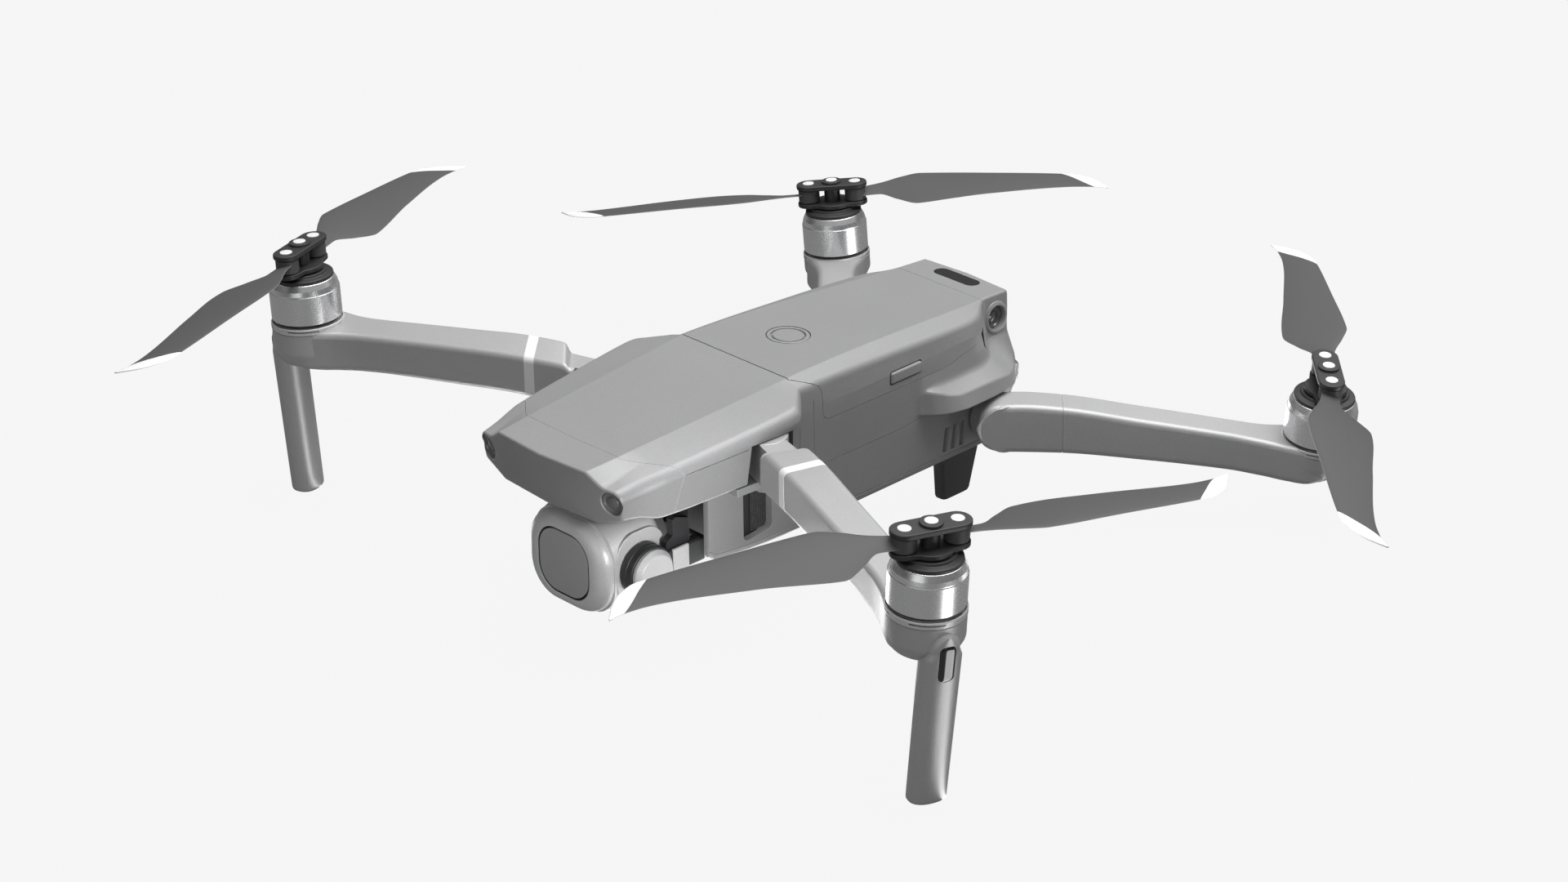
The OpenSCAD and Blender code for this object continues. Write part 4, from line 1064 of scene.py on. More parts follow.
camera = {
    "tiltY": -97.0, "tiltZ": 29.0, "width": 38.0, "height": 32.0, "frontY": -113.0, "backY": -84.5,
    "seamY": -107.9, "opening": (24.6, 23.6, 8.6), "lip": 0.3, "frontEdge": (5.6, 3.6), "frontDeep": 4.6,
    "corner": 13.0, "frontTuck": 3.4, "backCorner": 6.5, "backRound": 7.0,
    # cross-sections behind the seam: y, and what the corner radius has over backCorner
    "midRows": ((-103, 1.6), (-98, 0.0), (-93, 0.0)),
    "glassGap": 1.4, "glassOff": (0.25, 0.25), "glassShares": (1.0, 0.97, 0.9, 0.75, 0.5, 0.25, 0.04),
    "cheekY": -96.4, "cheekSize": (20.6, 26.0, 8.0),
    "spindleSeat": (2.6, -4.2, 1.2),
}


def cameraRing(y, width, height, radius):
    return [(p.x, y, camera["tiltZ"] + p.y) for p in squircle(width, height, radius)]


def cameraRings():
    # out of the front opening, over the soft front edge, past the seam and round the back
    w, h, fy, by, sy = (camera[k] for k in ("width", "height", "frontY", "backY", "seamY"))
    (holeWide, holeTall, holeRadius), lip = camera["opening"], camera["lip"]
    (wide, tall), corner, rear, tuck = (camera[k] for k in ("frontEdge", "corner", "backCorner", "frontTuck"))
    rings = [cameraRing(fy + 3.0, holeWide - 0.4, holeTall - 0.4, holeRadius),
             cameraRing(fy + lip, holeWide, holeTall, holeRadius)]
    for s, c in quarter(4):
        grow = lip * (1 - c)
        rings.append(cameraRing(fy + lip * (1 - s), holeWide + 2 * grow, holeTall + 2 * grow,
                                holeRadius + grow))
    for s, c in quarter(8):
        pull = 1 - s
        rings.append(cameraRing(fy + camera["frontDeep"] * (1 - c), w - 2 * pull * wide, h - 2 * pull * tall,
                                corner - tuck * pull))
    for y, pull in ((sy - 0.25, 0.0), (sy - 0.12, 0.3), (sy + 0.12, 0.3), (sy + 0.25, 0.05)):
        rings.append(cameraRing(y, w - 2 * pull, h - 2 * pull, corner - 1.6))
    rings += [cameraRing(y, w, h, rear + extra) for y, extra in camera["midRows"]]
    deep = camera["backRound"]
    for s, c in quarter(8, 1):
        pull = deep * (1 - c)
        rings.append(cameraRing(by - deep + deep * s, w - 2 * pull, h - 2 * pull, rear - pull * 0.3))
    rings.append(cameraRing(by, (w - 2 * deep) * 0.4, (h - 2 * deep) * 0.4, 2))
    return rings


def makeCamera():
    half, fy = camera["width"] / 2, camera["frontY"]
    wide, tall, radius = camera["opening"]
    body = addObject("camera_housing", loft(cameraRings()))
    # seat of the tilt motor's spindle in the side, and the raised plate round it
    centre = Vector((half, camera["tiltY"], camera["tiltZ"]))
    spindle = turnedAt(centre, sideways, softRod(*camera["spindleSeat"]), 48)
    carve(body, spindle)
    finishPiece(body, "camera", "camera_grey", finishes["camera"], "camera_housing", sharpAngle=40)
    plate = [Vector((p.x + camera["cheekY"], p.y + camera["tiltZ"])) for p in squircle(*camera["cheekSize"])]
    cheek = addObject("camera_cheek", sidewaysLoft(
        [(half - 0.6, plate), (half + 0.12, plate), (half + 0.3, inset(plate, 0.35))]))
    carve(cheek, spindle)
    finishPiece(cheek, "camera", "camera_grey", finishes["camera"])
    rim = [cameraRing(fy + back, wide - d, tall - d, radius - d / 3)
           for back, d in ((0.3, 0.12), (0.3, 0.5), (1.1, 1.3), (2.9, 1.3), (2.9, 0.5))]
    bezel = addObject("camera_bezel", loft(rim + [rim[0]], False))
    finishPiece(bezel, "camera", "gimbal_black", finishes["gimbal"], "camera_bezel")
    wide, tall, radius = wide - camera["glassGap"], tall - camera["glassGap"], radius - 0.5
    pane = [cameraRing(fy + back, wide, tall, radius) for back in (2.8, 0.1)]
    pane += [cameraRing(fy - 0.1 - 0.25 * (1 - q ** 2), wide * q, tall * q, radius * q)
             for q in camera["glassShares"]]
    side, up = camera["glassOff"]
    glass = addObject("camera_glass", placed(loft(pane), Matrix.Translation((side, 0, up))))
    finishPiece(glass, "camera", "lens_glass", finishes["cameraGlass"], "camera_glass")


gimbal = {
    "motorX": (19.8, 24.8), "spindle": (2.45, 0, 4.2), "spindleIn": 3.8, "armHalf": 4.5, "armBackY": -72.6,
    "bracket": [(-88.6, 24.5), (-88.6, 36.0), (-85.8, 37.5), (-85.8, 43.0), (-84.6, 43.8), (-78.9, 41.7),
                (-78.5, 37.9), (-78.5, 24.5)],
    "backY": (-74.85, -72.55), "rollMotorY": -74.9, "coverY": (-87.5, -80.4),
    # solids whose own shape shows
    "plain": {"gimbal_plate": "gimbal", "yaw_arm": "gimbal", "gimbal_dampers": "rubber",
              "belly_plate": "dark", "main_board": "board", "cooling_fan": "dark"},
}


def makeGimbal():
    y, z = camera["tiltY"], camera["tiltZ"]
    (inner, outer), half = gimbal["motorX"], gimbal["armHalf"]
    length = outer - inner
    drum = softProfile([(0, 0, 0), (9.0, 0, 0.3), (9.0, 2.3, 0.15), (8.75, 2.45, 0.05), (8.75, 2.7, 0.05),
                        (8.9, 2.8, 0.1), (8.9, length - 0.1, 0.4), (8.0, length, 0), (0, length, 0)])
    rollDrum = softProfile([(2.1, 0, 0), (8.6, 0, 0.5), (8.6, 2.4, 0.3), (2.1, 2.4, 0)])
    backFront, backEnd = gimbal["backY"]
    roll = addObject("roll_arm", merge(
        turnedAt(Vector((inner, y, z)), sideways, drum, 96),
        turnedAt(Vector((inner - gimbal["spindleIn"], y, z)), sideways, rodProfile(*gimbal["spindle"]), 32),
        bevelledBox((inner + 1.1, y, z - half), (outer, gimbal["armBackY"], z + half), 1.0),
        sidewaysLoft([(inner + 0.7, gimbal["bracket"]), (outer - 1.5, gimbal["bracket"])]),
        bevelledBox((0, backFront, z - half), (outer - 0.2, backEnd, z + half)),
        turnedAt(Vector((0, gimbal["rollMotorY"], z)), Vector((0, 1, 0)), rollDrum, 72)))
    finishPiece(roll, "gimbal_roll", "gimbal_black", finishes["gimbal"], "roll_arm")
    start, end = gimbal["coverY"]
    box = bevelledBox((outer - 0.8, start, z - 4.2), (outer + 0.5, end, z + 4.6), 0.5)
    cover = addObject("roll_arm_cover", box)
    finishPiece(cover, "gimbal_roll", "camera_grey", finishes["camera"])
    lid = softProfile([(0, 0, 0), (8.2, 0, 0.2), (8.2, 1.3, 0.3), (7.1, 2.6, 0.35), (6.8, 2.95, 0.25),
                       (0, 3.0, 0)])
    cap = addObject("tilt_motor_cap", turnedAt(Vector((outer, y, z)), sideways, lid, 96))
    finishPiece(cap, "gimbal_roll", "camera_grey", finishes["camera"], "tilt_motor_cap")
    for name, finish in gimbal["plain"].items():
        paintNode(name, finish)


makeCamera()
makeGimbal()
print("gimbal and camera ready")


# arms: a pod under each motor, a swept beam, and on the front arms a leg

arms = {
    "podRadius": 12.6, "podBore": (7, -4, 4), "bandAt": 31.7, "bandWide": 3.8, "frontTurn": -20.2,
    "pinRadius": 2.98, "boreRadius": 3.06, "pinZ": (48.4, 70.6), "pinBack": 15, "pinLength": 19.4,
    "boreLength": 19.6,
    # slits in each base ring: count, half their angle, first angle, and heights under the bell
    "slits": (4, 26.0, -44.4), "slitZ": (-2.05, -1.5),
    "slant": [(-6, 0.0), (6, 0.5), (20, 0.5), (31.7, 0.356), (48, 0.0)], "rampAt": (15.0, 21.0),
    "frontPivot": (35.5, -56.4), "frontBell": (148.2, -98.3, 66.2), "frontLean": 3.64, "frontPodDepth": 16.5,
    "frontKnuckle": (8.3, 53.75, 68.2, 0.5), "frontRoom": ((-20, -20, 40), (12.8, -4.2, 80)),
    "rearPivot": aft["knuckleAt"], "rearBell": (117.0, 131.2, 30.3), "rearLean": 5.5, "rearPodDepth": 13.5,
    "rearKnuckle": (8.9, -6.4, 6.4, 0.8), "rearRoom": ((-20, -20, 10), (14, -6.8, 60)),
    "rearFace": (6.5, 16, 20),
    "rearSeamAt": 21.0, "seamDepth": 0.22,
    # along the arm: rear top, front top, rear foot and front foot heights, and half the width
    "front": [(-6, (67.9, 67.9, 54.0, 54.0, 5.6)), (8, (67.9, 67.9, 54.0, 54.0, 6.5)),
              (16.2, (68.1, 68.0, 54.0, 54.0, 6.75)), (16.9, (68.6, 68.1, 54.0, 54.0, 6.75)),
              (18.7, (71.8, 69.0, 54.1, 54.1, 6.75)), (19.6, (72.2, 69.2, 54.1, 54.1, 6.75)),
              (24, (72.4, 69.3, 54.3, 54.3, 6.75)), (34, (72.3, 69.2, 54.5, 54.5, 6.75)),
              (60, (70.2, 67.9, 53.4, 53.4, 6.75)), (84, (68.0, 66.2, 52.2, 52.2, 6.8)),
              (96, (66.7, 65.4, 51.3, 51.3, 7.2)), (104, (65.9, 64.9, 50.6, 50.6, 8.3)),
              (111, (65.4, 64.6, 50.2, 50.2, 10.2)), (117, (65.1, 64.5, 50.4, 50.4, 11.6)),
              (122, (65.0, 64.5, 51.0, 51.0, 10.5))],
    "rear": [(-8.6, (38.2, 38.2, 33.9, 33.9, 5.2)), (-7.6, (40.6, 40.6, 31.4, 31.4, 6.3)),
             (-5.5, (43.0, 43.0, 29.0, 29.0, 6.7)), (-2.5, (44.5, 44.5, 27.5, 27.5, 6.75)),
             (1, (45.0, 45.0, 27.0, 27.0, 6.75)), (6, (45.1, 45.0, 26.9, 26.9, 6.75)),
             (21, (44.0, 43.8, 26.4, 26.4, 6.75)), (48, (39.4, 39.0, 23.6, 23.6, 6.75)),
             (78, (34.0, 33.6, 19.6, 19.6, 6.8)), (90, (31.6, 31.2, 17.4, 17.4, 7.6)),
             (98, (30.3, 29.9, 16.2, 16.2, 9.4)), (105, (29.5, 29.2, 15.8, 15.8, 11.2)),
             (110, (29.2, 29.0, 16.4, 16.4, 10.6))],
    "radii": (1.9, 2.3, 2.6, 2.6),
}


def armSection(table, s):
    rearTop, frontTop, rearFoot, frontFoot, half = (along([(k, v[i]) for k, v in table], s) for i in range(5))
    points = ((half, rearTop), (-half, frontTop), (-half, frontFoot), (half, rearFoot))
    return roundedOutline([(x, y, radius) for (x, y), radius in zip(points, arms["radii"])], 6)


def armLoft(table, place, stations, groove=(), slant=((0, 0.0),)):
    rings = []
    for s in stations:
        line = armSection(table, s)
        if any(abs(s - g) < 0.12 for g in groove):
            line = inset(line, arms["seamDepth"])
        rings.append([place @ Vector((s + along(slant, s) * p.x, p.x, p.y)) for p in line])
    return loft(rings)


def stationsOf(table, grooves=(), low=0.0, high=0.0, step=1.5):
    # evenly along the arm, closer over the stretch from low to high, and round each groove
    first, last = table[0][0], table[-1][0]
    count, closeCount = int((last - first) / step), 16
    stops = [first + (last - first) * k / count for k in range(count + 1)]
    if high > low:
        stops = [s for s in stops if not low < s < high]
        stops += [low + (high - low) * k / closeCount for k in range(closeCount + 1)]
    for g in grooves:
        stops = [s for s in stops if abs(s - g) > 0.5] + [g - 0.22, g - 0.1, g + 0.1, g + 0.22]
    return sorted(stops)


def bellPlace(which):
    lean = math.radians(arms[which + "Lean"])
    return Matrix.Translation(Vector(arms[which + "Bell"])) @ Matrix.Rotation(lean, 4, "Y")


def onBell(which, profile, segments=96):
    return placed(revolve(profile, segments), bellPlace(which))


def podProfile(depth):
    r = arms["podRadius"]
    return softProfile([(0, -depth, 0), (r - 3.0, -depth, 5.0), (r, -depth + 5.5, 4.0), (r, -3.3, 0.05),
                        (r - 1.6, -3.2, 0.05), (r - 1.6, -0.95, 0.05), (0, -0.9, 0)], 6)


def makeBaseRing(which, side, sign):
    # pale ring on the pod under the bell, with slits all round
    r = arms["podRadius"]
    profile = softProfile([(r - 0.3, -3.15, 0), (r - 0.05, -3.15, 0.1), (r + 0.12, -2.9, 0.1),
                           (r + 0.12, -1.15, 0.2), (r - 0.1, -0.8, 0.2), (r - 0.3, -0.8, 0)], 3)
    ring = addObject("motor_base_" + which + "_" + side, sided(onBell(which, profile), sign))
    count, half, first = arms["slits"]
    for k in range(count):
        turns = [math.radians(first + 360 / count * k + half * (j / 6 - 1)) for j in range(13)]
        line = [Vector((math.cos(turn), math.sin(turn))) for turn in turns]
        slit = [p * (r - 1) for p in line] + [p * (r + 1) for p in reversed(line)]
        carve(ring, sided(placed(prism(slit, *arms["slitZ"]), bellPlace(which)), sign))
    finishPiece(ring, which + "_arm_" + side, "arm_grey", finishes["camera"])


def frontHinge():
    return Matrix.Translation((*arms["frontPivot"], 0))


def frontPlace():
    return frontHinge() @ Matrix.Rotation(math.radians(arms["frontTurn"]), 4, "Z")


def rearPlace():
    pivot, bell = Vector(arms["rearPivot"]), Vector(arms["rearBell"])
    turn = math.atan2(bell.y - pivot.y, bell.x - pivot.x)
    return Matrix.Translation((pivot.x, pivot.y, 0)) @ Matrix.Rotation(turn, 4, "Z")


def makeFrontArm(side, sign):
    body = "front_arm_" + side
    place, table, slant = frontPlace(), arms["front"], arms["slant"]
    beam = armLoft(table, place, stationsOf(table, (), *arms["rampAt"]), (), slant)
    arm = addObject(body, sided(beam, sign))
    knuckle = softRod(*arms["frontKnuckle"], 4)
    carve(arm, sided(placed(revolve(knuckle, 64), frontHinge()), sign), "UNION")
    carve(arm, sided(placed(block(*arms["frontRoom"]), place), sign))
    carve(arm, sided(onBell("front", podProfile(arms["frontPodDepth"])), sign), "UNION")
    carve(arm, sided(onBell("front", rodProfile(*arms["podBore"]), 64), sign))
    carve(arm, sided(placed(revolve(rodProfile(arms["boreRadius"], 40, 80), 48), frontHinge()), sign))
    carve(arm, sided(legSolid(leg["gap"], leg["seatZ"]), sign))
    finishPiece(arm, body, "arm_grey", finishes["arm"], body, sharpAngle=38)
    # pale band round the arm, whose ends dip into it
    middle, wide = arms["bandAt"], arms["bandWide"]
    lean = along(slant, middle)
    rings = []
    for share, depth in ((-2, 0.4), (-2, -0.07), (-1, -0.07), (0, -0.07), (1, -0.07), (2, -0.07), (2, 0.4)):
        s = middle + share * wide / 4
        line = inset(armSection(table, s), depth)
        rings.append([place @ Vector((s + lean * p.x, p.x, p.y)) for p in line])
    band = addObject("arm_band_" + side, sided(loft(rings), sign))
    finishPiece(band, body, "arm_grey", finishes["band"])


def makeRearArm(side, sign):
    body = "rear_arm_" + side
    place, table, grooves = rearPlace(), arms["rear"], (arms["rearSeamAt"],)
    arm = addObject(body, sided(armLoft(table, place, stationsOf(table, grooves), grooves), sign))
    pivot, axis = Vector(arms["rearPivot"]), knuckleAxis()
    faceIn, faceRadius, faceDepth = arms["rearFace"]
    face = turnedAt(pivot - axis * faceIn, -axis, rodProfile(faceRadius, 0, faceDepth), 48)
    boreProfile = rodProfile(arms["boreRadius"], 0, arms["boreLength"])
    bore = turnedAt(pivot - axis * arms["pinBack"], axis, boreProfile, 48)
    carve(arm, sided(turnedAt(pivot, axis, softRod(*arms["rearKnuckle"], 4), 72), sign), "UNION")
    carve(arm, sided(placed(block(*arms["rearRoom"]), place), sign))
    carve(arm, sided(onBell("rear", podProfile(arms["rearPodDepth"])), sign), "UNION")
    carve(arm, sided(face, sign))
    carve(arm, sided(bore, sign))
    carve(arm, sided(onBell("rear", rodProfile(*arms["podBore"]), 64), sign))
    finishPiece(arm, body, "arm_grey", finishes["arm"], body, sharpAngle=38)
    lens = softProfile([(0, -16.6, 0), (4.6, -16.6, 1.2), (6.4, -15.2, 0.8), (6.4, -13.2, 0.2),
                        (0, -13.2, 0)])
    lamp = addObject("rear_lamp_" + side, sided(onBell("rear", lens, 72), sign))
    finishPiece(lamp, body, "black_gloss", finishes["lamp"], "rear_lamp_" + side)


def makePins():
    radius, axis = arms["pinRadius"], knuckleAxis()
    upright = placed(revolve(rodProfile(radius, *arms["pinZ"]), 48), frontHinge())
    start = Vector(arms["rearPivot"]) - axis * arms["pinBack"]
    level = turnedAt(start, axis, rodProfile(radius, 0, arms["pinLength"]), 48)
    pins = addObject("arm_hinge_pins", bothSides(merge(upright, level)))
    finishPiece(pins, "root", "pin_steel", finishes["steel"], "arm_hinge_pins")


leg = {
    "top": (157.2, -100.8, 60.0), "foot": (151.0, -100.9, 0.0), "half": (5.2, 6.7), "footScale": 0.94,
    "power": 2 / 2.4,
    # arched top: its height, the heights where the post narrows and its width there
    "arch": 60.4, "tongue": (51.8, 54.6, 0.82), "gap": 0.06, "seatZ": 20,
    # rounded sole: heights, and how far each is drawn in
    "sole": ((0.0, 0.7), (0.15, 0.3), (0.5, 0.08), (1.2, 0.0)),
    "lampZ": (45.0, 57.6), "lampWidth": 5.4, "lampRadius": 2.0, "lampSeat": (2.6, 9),
    # the lamp's cover: depth, and how far its outline is drawn in
    "lampRows": ((2.7, 0), (4.9, 0), (5.3, 0.15), (5.5, 0.45), (5.62, 1.0), (5.68, 1.7)),
}


def legAxis(z):
    top, foot = Vector(leg["top"]), Vector(leg["foot"])
    return foot + (top - foot) * (z / top.z)


def legTurn():
    return Matrix.Rotation(math.radians(arms["frontTurn"]), 3, "Z")


def legSolid(grow, lowZ=0.0):
    # flat-sided oval post whose arched top lies against the pod
    (thick, wide), arch, (first, second, part) = leg["half"], leg["arch"], leg["tongue"]
    rise = wide * part
    spring = arch - rise
    start = lowZ + leg["sole"][-1][0]
    rows = [(lowZ + z, tuck) for z, tuck in leg["sole"]]
    rows += [(start + (first - start) * k / 10, 0.0) for k in range(1, 11)]
    rows += [(first + (second - first) * k / 4, 0.0) for k in range(1, 5)]
    rows += [(spring + rise * math.sin(math.radians(a)), 0.0) for a in range(0, 88, 8)]
    turn = legTurn()
    rings = []
    for z, tuck in rows:
        scale = leg["footScale"] + (1 - leg["footScale"]) * z / arch
        narrow = along([(first, 1.0), (second, part)], z)
        narrow *= math.sqrt(max(rise ** 2 - max(z - spring, 0) ** 2, 0.01)) / rise
        more = grow if grow > 0 else grow - tuck
        line = []
        for j in range(64):
            angle = 2 * math.pi * j / 64
            c, s = math.cos(angle), math.sin(angle)
            x = (thick * scale + more) * math.copysign(abs(c) ** leg["power"], c)
            y = (wide * scale * narrow + more) * math.copysign(abs(s) ** leg["power"], s)
            line.append(legAxis(z) + turn @ Vector((x, y, 0)))
        rings.append(line)
    return loft(rings)


def makeLeg(side, sign):
    low, high = leg["lampZ"]
    name, lampName, body = "front_leg_" + side, "leg_lamp_" + side, "front_arm_" + side
    post = addObject(name, sided(legSolid(0.0), sign))
    upward = (legAxis(1.0) - legAxis(0.0)).normalized()
    out = (legTurn() @ Vector((0, 1, 0))).cross(upward).normalized()
    across = upward.cross(out)
    facing = Matrix((across, upward, out)).transposed().to_4x4()
    place = Matrix.Translation(legAxis((low + high) / 2)) @ facing
    outline = squircle(leg["lampWidth"], high - low, leg["lampRadius"], 6)
    carve(post, sided(placed(prism(outline, *leg["lampSeat"]), place), sign))
    finishPiece(post, body, "arm_grey", finishes["arm"], name, sharpAngle=40)
    inner = inset(outline, 0.1)
    rings = [[place @ Vector((p.x, p.y, depth)) for p in inset(inner, pull)]
             for depth, pull in leg["lampRows"]]
    lamp = addObject(lampName, sided(loft(rings), sign))
    finishPiece(lamp, body, "black_gloss", finishes["lamp"], lampName)


makePins()
for side, sign in sides:
    makeFrontArm(side, sign)
    makeLeg(side, sign)
    makeRearArm(side, sign)
    for which in ("front", "rear"):
        makeBaseRing(which, side, sign)
print("arms ready")


# motors, hubs and blades, in the frame of each bell

rotor = {
    "bellRadius": 12.3, "bellHeight": 14.8, "shaft": (2.45, -2.4), "pivot": 8.8, "pinRadius": 1.84,
    "turns": {"front": 69.6, "rear": 136.0}, "discTop": 17.1, "lowPlate": (17.5, 19.2),
    "topPlate": (24.4, 26.3),
    "riserRadius": 6.0, "postRadius": 3.0, "bossRise": 0.9, "screwRadius": 2.15,
}


def bellSolid():
    r, h = rotor["bellRadius"], rotor["bellHeight"]
    cup = softProfile([(2.5, h, 0), (2.5, 12.6, 0), (r - 1.7, 12.6, 0.6), (r - 1.7, 0.3, 0.1),
                       (r - 0.25, 0.3, 0.1), (r - 0.02, 0.55, 0.1), (r, 10.55, 0.1),
                       (r - 0.22, 10.8, 0.08), (r - 0.22, 11.1, 0.08), (r - 0.55, 12.6, 1.0),
                       (r - 1.5, h - 0.25, 0.5), (r - 2.1, h, 0.1)], 3)
    return merge(revolve(cup, 120), revolve(rodProfile(*rotor["shaft"], h - 0.01), 32))


def plateOutline(endRadius, midRadius, steps=10):
    # link plate: round ends on the blade pivots, and a fuller waist
    line = []
    for end in (1, -1):
        for k in range(steps + 1):
            angle = math.radians(-90 + 180 * k / steps) + (0 if end > 0 else math.pi)
            x = end * rotor["pivot"] + endRadius * math.cos(angle)
            line.append(Vector((x, endRadius * math.sin(angle))))
        if midRadius > endRadius:
            first = math.asin(endRadius / midRadius * 0.86)
            for k in range(1, steps):
                angle = first + (math.pi - 2 * first) * k / steps
                line.append(Vector((end * midRadius * math.cos(angle), end * midRadius * math.sin(angle))))
    return line


def hubSolid():
    # a disc on the bell, two link plates, and the posts between them, each sunk a little into what it meets
    h, top, sunk = rotor["bellHeight"], rotor["discTop"], 0.1
    (low, high), (low2, high2) = rotor["lowPlate"], rotor["topPlate"]
    disc = softProfile([(0, h, 0), (10.6, h, 0.1), (10.6, h + 1.1, 0.5), (8.4, h + 1.5, 0.3), (8.2, top, 0.3),
                        (0, top, 0)])
    boss = softProfile([(0, high2 - sunk, 0), (3.7, high2 - sunk, 0), (3.7, high2 + rotor["bossRise"], 0.25),
                        (0, high2 + rotor["bossRise"], 0)])
    parts = [revolve(disc, 96), revolve(rodProfile(rotor["riserRadius"], top - sunk, low + sunk), 48),
             prism(plateOutline(4.4, 7.4), low, high, 0.35), prism(plateOutline(4.6, 4.6), low2, high2, 0.45),
             revolve(boss, 48), revolve(rodProfile(rotor["postRadius"], high - sunk, low2 + sunk), 48)]
    pin = revolve(rodProfile(rotor["pinRadius"], high - sunk, low2 + sunk), 32)
    for end in (1, -1):
        parts.append(placed(pin, Matrix.Translation((end * rotor["pivot"], 0, 0))))
    return merge(*parts)


def screwSolid():
    r = rotor["screwRadius"]
    parts = []
    for k in (-1, 0, 1):
        top = rotor["topPlate"][1] + (rotor["bossRise"] if k == 0 else 0.0)
        head = softProfile([(0, top - 0.05, 0), (r, top - 0.05, 0), (r, top + 0.3, 0.2),
                            (1.2, top + 0.42, 0.2), (0, top + 0.42, 0)])
        parts.append(placed(revolve(head, 40), Matrix.Translation((k * rotor["pivot"], 0, 0))))
    return merge(*parts)


blade = {
    "tip": 104.7, "z": 21.8, "bossRadius": 4.0, "bossHalf": 2.4, "boreRadius": 1.9, "clearing": (2.2, -8, 8),
    # along the radius: how far the leading and trailing edges lie from the pivot line, pitch and droop
    "lead": [(8, 3.2), (12, 3.6), (19, 5.6), (26, 8.9), (34, 11.4), (60, 9.9), (91, 7.6), (97, 4.6),
             (101, 0.6), (104.7, -5.9)],
    "trail": [(8, 3.2), (12, 2.9), (18, 2.6), (25, 7.0), (33, 11.2), (60, 7.6), (92, 4.1), (98, 4.6),
              (101, 5.2), (104.7, 6.6)],
    "pitch": [(9, 15.0), (30, 12.0), (45, 9.0), (100, 5.0)],
    "droop": [(9, 0.0), (40, 0.0), (104.7, -2.2)],
    # section: share of the chord, and height in thicknesses, over the top and back below
    "section": [(0.0, 0.05), (0.03, 0.28), (0.1, 0.48), (0.22, 0.63), (0.4, 0.7), (0.6, 0.64), (0.8, 0.46),
                (0.94, 0.22), (1.0, 0.06), (1.0, -0.06), (0.9, -0.12), (0.7, -0.22), (0.45, -0.3),
                (0.2, -0.3), (0.06, -0.2)],
    # cross-sections, in rows of (first, step, count)
    "rows": [(8.0, 0.75, 40), (38, 3.0, 18), (90, 0.6, 25)],
    "paleLine": (87.0, 99.5), "paleBlur": 0.12,
    # the blade's grey, the pale painted highlight along its edges, and its pale tip
    "grey": (0.08, 0.08, 0.082), "worn": (0.3, 0.3, 0.3), "pale": (0.84, 0.84, 0.84),
}


def bladeSection(r):
    lead, trail = along(blade["lead"], r), along(blade["trail"], r)
    pitch, droop = math.radians(along(blade["pitch"], r)), along(blade["droop"], r)
    chord = lead + trail
    thick = min(1.5, 0.45 + chord * 0.045)
    line = []
    for q, h in blade["section"]:
        y, z = lead - q * chord, h * thick
        across = y * math.cos(pitch) - z * math.sin(pitch)
        line.append((r, -across, droop + y * math.sin(pitch) + z * math.cos(pitch)))
    return line


def wingSolid():
    stations = evenly(blade["rows"])
    stations = sorted({round(min(s, blade["tip"]), 3) for s in stations} | {blade["tip"]})
    return loft([bladeSection(r) for r in stations])


def bladeBoss():
    bore, radius, half = (blade[k] for k in ("boreRadius", "bossRadius", "bossHalf"))
    profile = softProfile([(bore, -half, 0), (radius, -half, 0.35), (radius, half, 0.35), (bore, half, 0)])
    return placed(revolve(profile, 56), Matrix.Translation((rotor["pivot"], 0, 0)))


def bladeMaterial():
    # grained blade with a pale tip, by the blade's own map of radius and chord, and a painted highlight along
    # its edges
    material, tree, shader = newMaterial("bladePlastic")
    texture = useGroup(tree, grain, Scale=2200.0, Tone_Spread=0.3, Base_Roughness=0.6)
    worn = useGroup(tree, edges, Width=0.3 * unit, Strength=0.4)
    uv = tree.nodes.new("ShaderNodeUVMap")
    uv.uv_map = "bladeMap"
    split = tree.nodes.new("ShaderNodeSeparateXYZ")
    tree.links.new(uv.outputs["UV"], split.inputs["Vector"])
    first, last = blade["paleLine"]
    border = mathNode(tree, "ADD", mathNode(tree, "MULTIPLY", split.outputs["Y"], last - first), first)
    beyond = mathNode(tree, "SUBTRACT", mathNode(tree, "MULTIPLY", split.outputs["X"], blade["tip"]), border)
    mask = mathNode(tree, "MULTIPLY", beyond, 1.0 / blade["paleBlur"], clamp=True)
    tone = texture.outputs["Tone"]
    mix = colourMix(tree)
    tree.links.new(mask, mix.inputs["Factor"])
    # the grey lightened along the edges by a painted highlight
    grey = lighter(tree, tinted(tree, blade["grey"], tone), blade["worn"], worn.outputs["Mask"])
    tree.links.new(grey, mix.inputs["A"])
    tree.links.new(tinted(tree, blade["pale"], tone), mix.inputs["B"])
    tree.links.new(mix.outputs["Result"], shader.inputs["Base Color"])
    tree.links.new(texture.outputs["Roughness"], shader.inputs["Roughness"])
    addRelief(tree, shader, texture, 0.15)
    return material


def rotorPlace(which, half=0):
    turn = math.radians(rotor["turns"][which] + 180 * half)
    return bellPlace(which) @ Matrix.Rotation(turn, 4, "Z")


def mapBlade(obj, place, sign):
    # the blade's map: share of the radius, and share of the chord
    inward = place.inverted()
    layer = obj.data.uv_layers.new(name="bladeMap")
    coords = []
    for vert in obj.data.vertices:
        q = inward @ Vector((vert.co.x / unit * sign, vert.co.y / unit + tipsShift, vert.co.z / unit))
        lead, trail = along(blade["lead"], q.x), along(blade["trail"], q.x)
        coords.append((q.x / blade["tip"], (q.y + lead) / max(lead + trail, 0.1)))
    for loop in obj.data.loops:
        layer.data[loop.index].uv = coords[loop.vertex_index]


